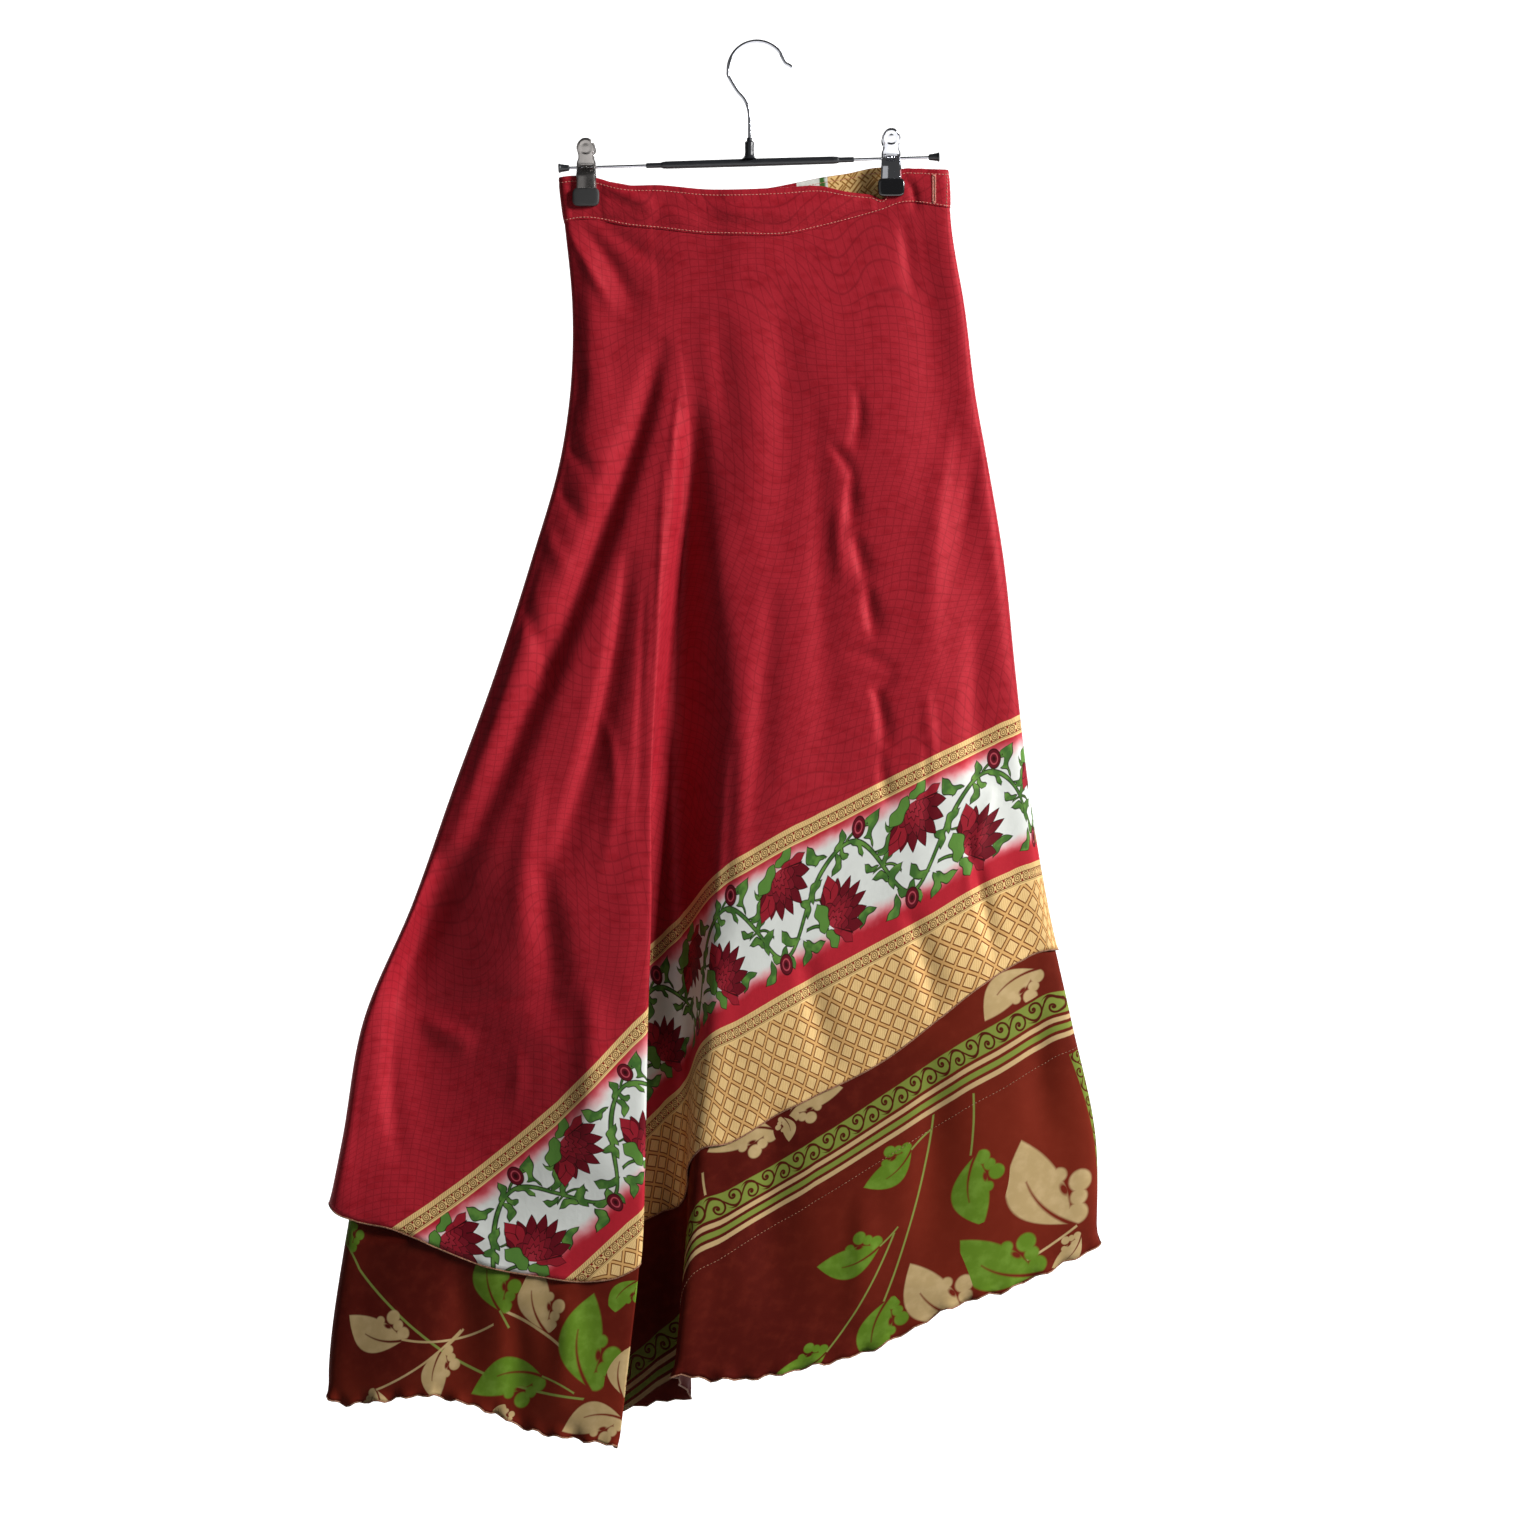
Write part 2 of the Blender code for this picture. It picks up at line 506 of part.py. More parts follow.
def add_ties(parts, finishes):
    """A tie sewn flat on the band near each end of the strip, hanging straight down beside the cloth."""
    for name, (middle, stretch, side) in TIES.items():
        table = np.array(OVER_BAND_ROWS if stretch == "over" else UNDER_BAND_ROWS, dtype=float)
        top = smooth_read(table[:, 0], table[:, 1], middle) + TIE_TOP_BELOW_BAND_EDGE
        sewn_on = LAYER_PITCH / 2 + side * (BAND_THICKNESS / 2 + SEAM_GAP + CLOTH_WALL / 2)
        across = middle + np.array([-TIE_WIDTH / 2, 0.0, TIE_WIDTH / 2])
        points = []
        for down in np.linspace(top, TIE_END_DOWN, TIE_ROWS + 1):
            inward = sewn_on + side * TIE_HANGS_FREE * smooth_step(*TIE_LEAVES_BAND, down)
            places = np.array([strip_place(value, down, stretch) for value in across])
            points.append(cloth_points(places, np.full(3, down), inward))
        add_wall(name, np.array(points), CLOTH_WALL, finishes["band"], parts)


def add_wire(name, path, radius, finish, parts):
    """A round wire through a list of points."""
    curve = bpy.data.curves.new(name, "CURVE")
    curve.dimensions = "3D"
    spline = curve.splines.new("POLY")
    spline.points.add(len(path) - 1)
    for point, place in zip(spline.points, path):
        point.co = (*(Vector(place) * MM), 1.0)
    curve.bevel_depth = radius * MM
    curve.bevel_resolution = 2
    curve.use_fill_caps = True
    return add_object(name, curve, finish, parts)


def bar_place(across):
    return Vector((across, 0.0, -(BAR_DOWN_AT_ORIGIN - BAR_SLOPE * across)))


def add_turned(name, start, direction, profile, finish, parts, closed=False, sides=16):
    """A turned piece: rows of radius and distance from the start, turned about the direction."""
    mesh = bpy.data.meshes.new(name)
    edges = [(index, index + 1) for index in range(len(profile) - 1)]
    if closed:
        edges.append((len(profile) - 1, 0))
    mesh.from_pydata([Vector((radius, 0.0, distance)) * MM for radius, distance in profile], edges, [])
    made = add_object(name, mesh, finish, parts)
    made.location = start * MM
    made.rotation_euler = direction.to_track_quat("Z", "Y").to_euler()
    turned = made.modifiers.new("Turned", "SCREW")
    turned.steps = turned.render_steps = sides
    turned.use_normal_flip = True
    turned.use_merge_vertices = True
    turned.merge_threshold = 0.00001
    return made


def hook_path():
    """The hook: a short turned-out tip, an arc over the top, then a bend into the straight stem."""
    centre_down = HOOK_RADIUS - HOOK_WIRE_RADIUS
    path = [(30.5, 0.0, -21.0), (27.5, 0.0, -19.6)]
    for degrees in range(14, 205, 12):
        angle = math.radians(degrees)
        path.append((HOOK_RADIUS * math.cos(angle), 0.0, HOOK_RADIUS * math.sin(angle) - centre_down))
    path += [(-17.6, 0.0, -41.5), (-12.0, 0.0, -48.0), (-8.6, 0.0, -54.0), (-6.9, 0.0, -60.5),
             (STEM_ACROSS, 0.0, -68.0), (STEM_ACROSS, 0.0, -STEM_END_DOWN)]
    return path


def rod_profile(length, start_radius, end_radius):
    return (0.0, 0.0), (start_radius, 0.0), (end_radius, length), (0.0, length)


def add_hanger(parts, finishes):
    """Hook, its socket, the centre sleeve with a collar at each end, the bar wires and the end caps."""
    chrome, black = finishes["chrome"], finishes["black plastic"]
    right = (bar_place(1.0) - bar_place(0.0)).normalized()
    add_wire("hook", hook_path(), HOOK_WIRE_RADIUS, chrome, parts)
    socket_top = -STEM_END_DOWN - SEAM_GAP
    foot = socket_top - (bar_place(STEM_ACROSS).z + SLEEVE_RADIUS + SEAM_GAP)
    add_turned("hook_socket", Vector((STEM_ACROSS, 0.0, socket_top)), Vector((0, 0, -1)),
               (*SOCKET_PROFILE, (4.6, foot - 1.2), (6.2, foot), (0.0, foot)), black, parts)
    sleeve = SLEEVE_SPAN[1] - SLEEVE_SPAN[0]
    profile = ((0.0, 0.0), (COLLAR_RADIUS, 0.0), (COLLAR_RADIUS, COLLAR_LENGTH), (SLEEVE_RADIUS, COLLAR_LENGTH),
               (SLEEVE_RADIUS, COLLAR_LENGTH + sleeve), (COLLAR_RADIUS, COLLAR_LENGTH + sleeve),
               (COLLAR_RADIUS, 2 * COLLAR_LENGTH + sleeve), (0.0, 2 * COLLAR_LENGTH + sleeve))
    add_turned("centre_sleeve", bar_place(SLEEVE_SPAN[0] - COLLAR_LENGTH), right, profile, black, parts)
    for side, sleeve_end, bar_end, outward in (("left", SLEEVE_SPAN[0], BAR_SPAN[0], -1),
                                               ("right", SLEEVE_SPAN[1], BAR_SPAN[1], 1)):
        bar_start = bar_place(sleeve_end + outward * (COLLAR_LENGTH + SEAM_GAP))
        length = (bar_place(bar_end) - bar_start).length
        add_turned(f"bar_{side}", bar_start, outward * right, rod_profile(length, BAR_RADIUS, BAR_RADIUS),
                   chrome, parts, sides=12)
        add_turned(f"end_cap_{side}", bar_place(bar_end + outward * SEAM_GAP), outward * right,
                   rod_profile(CAP_LENGTH, *CAP_RADII), black, parts)


def band_faces(middle, half_width):
    """The foremost and rearmost faces of the band stack between the jaws of a clip."""
    found = []
    places = np.linspace(middle - half_width, middle + half_width, 5)
    for stretch in ("back", "over" if middle > 0 else "under"):
        along = np.array([strip_place(place, CLIP_LEVEL, stretch) for place in places])
        found.append(cloth_points(along, np.full(len(along), CLIP_LEVEL), (LAYER_PITCH - BAND_THICKNESS) / 2)[:, 1])
    return found[0].min(), found[1].max()


def add_jaw(name, middle, bar_down, face, facing, finish, parts):
    """A rubber jaw: a tapered block with rounded edges, pressed on the band."""
    bm = bmesh.new()
    bmesh.ops.create_cube(bm, size=1.0)
    for vert in bm.verts:
        upper = vert.co.z > 0
        half_width = JAW_HALF_WIDTH_TOP if upper else JAW_HALF_WIDTH
        depth = face + facing * (SEAM_GAP + (JAW_THICKNESS if vert.co.y * facing > 0 else 0.0))
        height = -(bar_down + (JAW_TOP + SEAM_GAP if upper else JAW_BOTTOM))
        vert.co = Vector((middle + math.copysign(half_width, vert.co.x), depth, height)) * MM
    mesh = bpy.data.meshes.new(name)
    bm.to_mesh(mesh)
    bm.free()
    made = add_object(name, mesh, finish, parts)
    rounded = made.modifiers.new("Rounded", "BEVEL")
    rounded.width = JAW_ROUNDING * MM
    rounded.segments = 2


def add_clip(side, parts, finishes):
    """One clip: two sprung plates that cross the bar, each with a rubber jaw."""
    middle, drop = CLIP_ROWS[side]
    bar_down = -bar_place(middle).z + drop
    front_face, rear_face = band_faces(middle, JAW_HALF_WIDTH)
    for place, face, facing in (("front", front_face, -1), ("rear", rear_face, 1)):
        foot_out = abs(face) + SEAM_GAP + JAW_THICKNESS / 2
        points = []
        for _, below_bar, half_width, stand_off in CLIP_PLATE_ROWS:
            towards_foot = smooth_step(*PLATE_LEAVES_BAR, below_bar)
            depth = mix(stand_off, foot_out, towards_foot)
            shares = np.linspace(-1, 1, CLIP_PLATE_COLUMNS + 1)
            crown = CLIP_CROWN * (1 - shares ** 2) * half_width / CLIP_PLATE_ROWS[-1][2]
            row = [(middle + share * half_width, facing * (depth + rise), -(bar_down + below_bar))
                   for share, rise in zip(shares, crown)]
            points.append(row)
        add_wall(f"clip_{side}_{place}_plate", np.array(points), CLIP_PLATE_THICKNESS, finishes["clip metal"], parts)
        add_jaw(f"clip_{side}_{place}_jaw", middle, bar_down, face, facing, finishes["rubber"], parts)
    right = (bar_place(1.0) - bar_place(0.0)).normalized()
    length = 2 * SPRING_HALF_LENGTH
    ring = ((SPRING_BORE, 0.0), (SPRING_RADIUS, 0.0), (SPRING_RADIUS, length), (SPRING_BORE, length))
    add_turned(f"clip_{side}_spring", bar_place(middle) - right * SPRING_HALF_LENGTH, right, ring,
               finishes["clip metal"], parts, closed=True)


def build():
    for item in list(bpy.data.objects):
        bpy.data.objects.remove(item, do_unlink=True)
    parts = bpy.data.collections.new("wrap_skirt_on_hanger")
    bpy.context.scene.collection.children.link(parts)
    finishes = {
        "outer cloth": material("red satin cloth", (0.36, 0.02, 0.03), 0.42),
        "inner cloth": material("brown printed cloth", (0.12, 0.02, 0.012), 0.6),
        "band": material("red band cloth", (0.33, 0.02, 0.03), 0.45),
        "chrome": material("chromed wire", (0.75, 0.77, 0.8), 0.12, 1.0),
        "clip metal": material("plated clip steel", (0.45, 0.43, 0.41), 0.22, 1.0),
        "black plastic": material("black plastic", (0.015, 0.015, 0.018), 0.4),
        "rubber": material("black rubber", (0.012, 0.012, 0.012), 0.6),
    }
    add_hanger(parts, finishes)
    for side in CLIP_ROWS:
        add_clip(side, parts, finishes)
    add_waistband(parts, finishes)
    add_skirt_cloth(parts, finishes)
    add_ties(parts, finishes)


build()
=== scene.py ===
# %% [markdown]
# # A two-layer wrap skirt on a clip hanger
# The skirt is sewn from printed sari cloth: a red outer layer with a slanting flower border, and a longer
# brown inner layer. It hangs by its waistband from a slim hanger with two sprung clips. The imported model
# comes first, because every piece made below has to sit where its solid sits.

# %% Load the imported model
import math

import bmesh
import bpy
import numpy as np
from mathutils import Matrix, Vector


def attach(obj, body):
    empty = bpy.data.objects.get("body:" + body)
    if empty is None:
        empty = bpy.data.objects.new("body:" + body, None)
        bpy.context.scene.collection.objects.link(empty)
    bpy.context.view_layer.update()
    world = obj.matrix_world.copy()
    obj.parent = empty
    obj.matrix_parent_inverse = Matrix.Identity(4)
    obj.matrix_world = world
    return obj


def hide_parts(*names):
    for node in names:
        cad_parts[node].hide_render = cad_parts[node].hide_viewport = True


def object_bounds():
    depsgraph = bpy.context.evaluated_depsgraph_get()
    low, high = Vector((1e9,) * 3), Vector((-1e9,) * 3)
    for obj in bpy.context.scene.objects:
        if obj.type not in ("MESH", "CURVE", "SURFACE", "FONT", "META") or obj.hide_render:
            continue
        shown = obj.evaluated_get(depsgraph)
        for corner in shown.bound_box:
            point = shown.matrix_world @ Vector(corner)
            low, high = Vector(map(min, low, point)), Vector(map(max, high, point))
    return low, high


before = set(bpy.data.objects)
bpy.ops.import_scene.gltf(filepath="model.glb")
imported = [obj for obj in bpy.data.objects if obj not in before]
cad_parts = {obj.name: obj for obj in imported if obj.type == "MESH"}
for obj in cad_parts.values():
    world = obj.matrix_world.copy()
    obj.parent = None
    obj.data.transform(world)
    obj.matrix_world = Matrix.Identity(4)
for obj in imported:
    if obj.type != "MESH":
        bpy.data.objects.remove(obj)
solid_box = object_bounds()
MM = 0.001
corners = [tuple(round(value, 3) for value in corner) for corner in solid_box]
print("solids:", len(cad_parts), "box:", corners)

# %% [markdown]
# ## The camera and the room
# The photo looks straight at the skirt from about three metres, level with its middle. A backdrop that
# curves up from the floor has no horizon, so the picture stays plain and pale. One large lamp high on the
# right gives the satin its highlights, and weaker ones open up the shadows.

# %% Camera at the photo's angle
VIEW_DISTANCE = 3000.0
VIEW_DOWN = 624.0
VIEW_ACROSS = 2.6
SENSOR_WIDTH = 36.0
PHOTO_PIXELS, MM_TO_A_PIXEL = 1520, 0.87
SEEN_WIDTH = PHOTO_PIXELS * MM_TO_A_PIXEL

camera = bpy.data.objects.new("camera", bpy.data.cameras.new("camera"))
bpy.context.scene.collection.objects.link(camera)
camera.location = (VIEW_ACROSS * MM, -VIEW_DISTANCE * MM, -VIEW_DOWN * MM)
camera.rotation_euler = (math.radians(90), 0.0, 0.0)
camera.data.sensor_width = SENSOR_WIDTH
camera.data.lens = SENSOR_WIDTH * VIEW_DISTANCE / SEEN_WIDTH
bpy.context.scene.camera = camera
print("lens:", round(camera.data.lens, 2), "mm")

# %% Lamps and the light of the room
ROOM_LIGHT = 0.07
LAMPS = {
    # name: (place, aim, width, height, watts)
    "key": ((5.4, -2.8, 2.1), (0.0, 0.0, -0.6), 1.7, 1.7, 730.0),
    "fill": ((-1.2, -3.0, 0.1), (0.0, 0.0, -0.6), 1.6, 1.6, 4.0),
    "rim": ((0.9, 1.9, 0.6), (0.0, 0.0, -0.6), 1.4, 1.4, 30.0),
}
for name, (place, aim, width, height, watts) in LAMPS.items():
    lamp = bpy.data.objects.new(name, bpy.data.lights.new(name, "AREA"))
    bpy.context.scene.collection.objects.link(lamp)
    lamp.location = place
    lamp.rotation_euler = (Vector(aim) - Vector(place)).to_track_quat("-Z", "Y").to_euler()
    lamp.data.shape = "RECTANGLE"
    lamp.data.size, lamp.data.size_y = width, height
    lamp.data.energy = watts

world = bpy.data.worlds.new("room")
world.use_nodes = True
background = world.node_tree.nodes["Background"]
background.inputs["Color"].default_value = (1.0, 1.0, 1.0, 1.0)
background.inputs["Strength"].default_value = ROOM_LIGHT
bpy.context.scene.world = world
bpy.context.scene.view_settings.view_transform = "Standard"
print("lamps:", list(LAMPS))

# %% [markdown]
# ## Writing shader maths as sums
# A printed cloth is a drawing made of distances: how far a point lies from a line, a circle or a leaf.
# Written with bare nodes such a drawing is unreadable, so a value from a socket is wrapped in a small class
# that knows +, - and the rest, and each sum adds its own Math node.

# %% Values
class Value:
    """One number that changes over a surface."""

    def __init__(self, finish, socket):
        self.finish, self.socket = finish, socket

    def maths(self, operation, *others):
        sockets = dict(enumerate((self, *others)))
        return self.finish.add("ShaderNodeMath", {"operation": operation}, sockets)

    def __add__(self, other):
        return self.maths("ADD", other)

    def __sub__(self, other):
        return self.maths("SUBTRACT", other)

    def __mul__(self, other):
        return self.maths("MULTIPLY", other)

    def __truediv__(self, other):
        return self.maths("DIVIDE", other)

    def __pow__(self, other):
        return self.maths("POWER", other)

    def __rsub__(self, first):
        return self.finish.add("ShaderNodeMath", {"operation": "SUBTRACT"}, {0: first, 1: self})

    def __neg__(self):
        return self * -1.0

    def __abs__(self):
        return self.maths("ABSOLUTE")

    __radd__, __rmul__ = __add__, __mul__

    def sin(self):
        return self.maths("SINE")

    def cos(self):
        return self.maths("COSINE")

    def floor(self):
        return self.maths("FLOOR")

    def least(self, other):
        return self.maths("MINIMUM", other)

    def most(self, other):
        return self.maths("MAXIMUM", other)

    def over(self, limit):
        """1 where the value is over the limit."""
        return self.maths("GREATER_THAN", limit)

    def wrapped(self, reach):
        """The value folded into the range from -reach to reach, as in a repeating print."""
        return self.maths("WRAP", reach, -reach)

    def carried(self, kind, low, high, first, last):
        """The range from low to high carried over to the range from first to last, held at its ends."""
        sockets = {"Value": self, "From Min": low, "From Max": high, "To Min": first, "To Max": last}
        return self.finish.add("ShaderNodeMapRange", {"clamp": True, "interpolation_type": kind}, sockets)

    def inside(self, soft=0.25):
        """1 where a distance is below zero, with an edge this soft."""
        return self.carried("LINEAR", -soft, soft, 1.0, 0.0)

    def ramp(self, low, high):
        """Rises from 0 to 1 between two values."""
        return self.carried("SMOOTHSTEP", low, high, 0.0, 1.0)


def least_of(values):
    """The least of several values, which joins their shapes into one."""
    least = values[0]
    for value in values[1:]:
        least = least.least(value)
    return least


print("a sum such as 1 - mask adds one Math node")

# %% Finishes
class Finish:
    """A material, and the one way in which nodes are added to it."""

    def __init__(self, name):
        self.material = bpy.data.materials.new(name)
        self.material.use_nodes = True
        self.tree = self.material.node_tree
        self.shader = self.tree.nodes["Principled BSDF"]

    def add(self, kind, settings, sockets, output=0):
        """Adds a node with its settings and what goes into its sockets."""
        node = self.tree.nodes.new(kind)
        for key, setting in settings.items():
            setattr(node, key, setting)
        for key, value in sockets.items():
            self.feed(node.inputs[key], value)
        return Value(self, node.outputs[output])

    def feed(self, socket, value):
        """Links a value to a socket, or writes a plain number or colour into it."""
        if isinstance(value, Value):
            self.tree.links.new(value.socket, socket)
        elif hasattr(value, "__len__") and socket.type == "RGBA":
            socket.default_value = (*value, 1.0)
        else:
            socket.default_value = value

    def set(self, **looks):
        """Sets the shader's own sockets, named in lower case with _ for a space."""
        for name, value in looks.items():
            self.feed(self.shader.inputs[name.replace("_", " ").title().replace("Ior", "IOR")], value)

    def coats(self, base, *layers):
        """Lays colours over each other: each layer is a mask and a colour."""
        for mask, colour in layers:
            base = self.add("ShaderNodeMix", {"data_type": "RGBA"}, {0: mask, 6: base, 7: colour}, output=2)
        return base

    def noise(self, place, scale, detail=2.0, roughness=0.5):
        sockets = {"Vector": place, "Scale": scale, "Detail": detail, "Roughness": roughness}
        return self.add("ShaderNodeTexNoise", {}, sockets)

    def vector(self, x, y, z=0.0):
        return self.add("ShaderNodeCombineXYZ", {}, {0: x, 1: y, 2: z})

    def parts(self, vector):
        """The three numbers of a vector."""
        first = self.add("ShaderNodeSeparateXYZ", {}, {0: vector})
        return [Value(self, socket) for socket in first.socket.node.outputs]

    def map_in_mm(self, name):
        """The two values of one of the cloth's maps, in millimetres."""
        across, down, _ = self.parts(self.add("ShaderNodeUVMap", {"uv_map": name}, {}))
        return across * 1000.0, down * 1000.0

    def bump(self, height, strength, distance):
        sockets = {"Height": height, "Strength": strength, "Distance": distance}
        self.set(normal=self.add("ShaderNodeBump", {}, sockets))

    def object_place(self):
        """The place in the piece's own coordinates, for finishes without a printed map."""
        return self.add("ShaderNodeTexCoord", {}, {}, output=3)


print("a finish starts with one shader, and each drawing adds to it")

# %% [markdown]
# ## The room's backdrop
# One wide sheet, flat under the skirt and curved up behind it. It gives off a little light of its own, so
# it stays almost white without lamps aimed at it.

# %% Backdrop
FLOOR_UP, FLOOR_FRONT, BACKDROP_TOP, BACKDROP_SIDES = -1.75, -6.0, 5.0, (-7.0, 7.0)
BEND_START, BEND_RADIUS, BEND_STEP = 2.0, 1.6, 10
profile = [(FLOOR_FRONT, 0.0), (BEND_START, 0.0)]
for degrees in range(BEND_STEP, 91, BEND_STEP):
    turn = math.radians(degrees)
    profile.append((BEND_START + BEND_RADIUS * math.sin(turn), BEND_RADIUS - BEND_RADIUS * math.cos(turn)))
profile.append((BEND_START + BEND_RADIUS, BACKDROP_TOP))
rows = len(profile)
sheet_mesh = bpy.data.meshes.new("backdrop")
sheet_mesh.from_pydata([(side, away, up + FLOOR_UP) for side in BACKDROP_SIDES for away, up in profile], [],
                       [(row, row + rows, row + rows + 1, row + 1) for row in range(rows - 1)])
sheet_mesh.shade_smooth()
backdrop = bpy.data.objects.new("backdrop", sheet_mesh)
bpy.context.scene.collection.objects.link(backdrop)
pale = Finish("pale paper")
pale.set(base_color=(0.9, 0.9, 0.9), roughness=0.9, emission_color=(1.0, 1.0, 1.0), emission_strength=0.75)
backdrop.data.materials.append(pale.material)
backdrop.visible_diffuse = False
print("backdrop rows:", rows)

# %% [markdown]
# ## The strip that the skirt is wrapped from
# The cloth is one long strip: it starts as the underlap on the hidden side, turns the left side fold,
# crosses the seen side and ends as the overlap. These tables and curves are those of the solids, in
# millimetres, so the finer sheets made from them lie exactly on the solids.

# %% Levels of the strip
LEVEL_COLUMNS = ("down left lip tuck floor brow right left_out lip_out tuck_out floor_out "
                 "brow_out right_out back side_radius").split()
LEVEL_ROWS = (
    (110, -173, -89, -77, -58, -36, 166, 5.0, 7.5, 8, 8.5, 8.5, 5.0, 5.0, 4.2),
    (160, -167, -89, -77, -58, -36, 169, 5.2, 7.5, 8, 8.5, 8.5, 5.2, 5.0, 4.2),
    (230, -160.5, -84, -74, -56, -36.5, 180.5, 8, 10, 10, 10, 11, 8, 9, 5),
    (310, -163, -77, -63.5, -52, -36, 190.5, 11, 12, 10.5, 9, 13, 12, 13, 6),
    (360, -170.5, -70.5, -60, -54, -36, 199.5, 13, 14, 10, 8.5, 15, 15, 16, 6.5),
    (450, -196, -74, -67, -61, -34, 214.5, 16, 18, 10, 6, 19, 19, 24, 7),
    (550, -228, -87, -80, -64.5, -20, 225, 19, 23, 10, 2, 25, 22, 32, 8),
    (650, -264.5, -92, -95.5, -65, -22.5, 236.5, 22, 28, 9, -6, 30, 24, 39, 8.5),
    (750, -300, -92, -109, -63.5, -34, 253, 25, 33, 8, -14, 31, 25, 46.5, 9),
    (850, -342, -95, -119, -62.5, -42.5, 275, 27, 37, 8, -18, 32, 26, 54, 10),
    (950, -360, -97, -122.5, -64.5, -52, 296, 28, 41, 8, -21, 30, 26, 59, 11),
    (1050, -379, -100, -129, -65, -61, 297, 28, 45, 9, -23, 32, 27, 62, 12),
    (1150, -392, -110.5, -138, -61, -72, 297, 28, 48, 10, -24, 35, 28, 63.5, 12),
    (1250, -390, -122, -147, -55, -83, 297, 28, 51, 11, -25, 38, 28, 64, 12),
)
LEVELS = dict(zip(LEVEL_COLUMNS, np.array(LEVEL_ROWS, dtype=float).T))
LEFT_SHARES = (0.1, 0.22, 0.35, 0.52, 0.7, 0.82, 0.93)
RIGHT_SHARES = (0.09, 0.2, 0.3, 0.47, 0.65, 0.78, 0.9)
OVER_SHARES = (0.06, 0.14, 0.24, 0.36, 0.5, 0.65, 0.8)
UNDER_SHARES = (0.32, 0.44, 0.56, 0.68, 0.8, 0.9, 0.96)
OVER_STEP_OUT = (0.1, 0.3)
FOLD_OPENS_DOWN = (300.0, 560.0)
LIP_ROUNDING, LIP_PROUD, BROW_PROUD = 3.0, 0.5, 1.5
LEFT_RISE_ENDS, RIGHT_FALL_STARTS = 0.35, 0.65
INTO_TUCK, INTO_FLOOR, FLOOR_DEPTH_SHARE = 0.35, 0.35, 0.8
WRAP_CLEARANCE, WRAP_CLEARANCE_AT_HEM = 4.2, 11.0
print("levels:", len(LEVEL_ROWS), "from", LEVEL_ROWS[0][0], "to", LEVEL_ROWS[-1][0], "mm down")


# %% Guide points of the strip
def smooth_read(places, values, wanted):
    """Reads a table at the wanted places along a smooth curve through its rows."""
    places, values, wanted = (np.asarray(item, dtype=float) for item in (places, values, wanted))
    slopes = np.gradient(values, places)
    wanted = np.clip(wanted, places[0], places[-1])
    row = np.clip(np.searchsorted(places, wanted, side="right") - 1, 0, len(places) - 2)
    length = places[row + 1] - places[row]
    t = (wanted - places[row]) / length
    start = values[row] * (1 + 2 * t) * (1 - t) ** 2 + slopes[row] * length * t * (1 - t) ** 2
    end = values[row + 1] * t * t * (3 - 2 * t) + slopes[row + 1] * length * t * t * (t - 1)
    return start + end


def read_rows(rows, column, wanted):
    """Reads a column of a table whose first column holds the places."""
    table = np.array(rows, dtype=float)
    return smooth_read(table[:, 0], table[:, column], wanted)


def smooth_step(low, high, value):
    """Rises smoothly from 0 at low to 1 at high."""
    t = np.clip((np.asarray(value, dtype=float) - low) / (high - low), 0.0, 1.0)
    return t * t * (3 - 2 * t)


def mix(a, b, share):
    """The value a share of the way from one to another."""
    return a + (b - a) * share


def hidden_out(share, level, over):
    """How far the hidden side stands back from the middle plane; the overlap lies behind the underlap."""
    arch = np.sqrt(math.sin(math.pi * share))
    looseness = (level["back"] - LEVELS["back"][0]) / (LEVELS["back"][-1] - LEVELS["back"][0])
    clearance = mix(WRAP_CLEARANCE, WRAP_CLEARANCE_AT_HEM, looseness)
    back = level["back"] + over * clearance * smooth_step(*OVER_STEP_OUT, share)
    return -mix(level["side_radius"], back, arch)


def side_fold(side, edge, radius, order):
    """The guide points of a round side fold, from one side of it to the other."""
    first, second = ("_back", "") if order[0] < 0 else ("", "_back")
    points = []
    for part, degrees, facing in ((first + "_shoulder", 90, order[0]), (first + "_corner", 45, order[0]),
                                  ("_edge", 0, order[0]), (second + "_corner", 45, order[1]),
                                  (second + "_shoulder", 90, order[1])):
        angle = math.radians(degrees)
        out = facing * abs(radius) * math.sin(angle)
        points.append((side + part, edge + radius * (1 - math.cos(angle)), out))
    return points


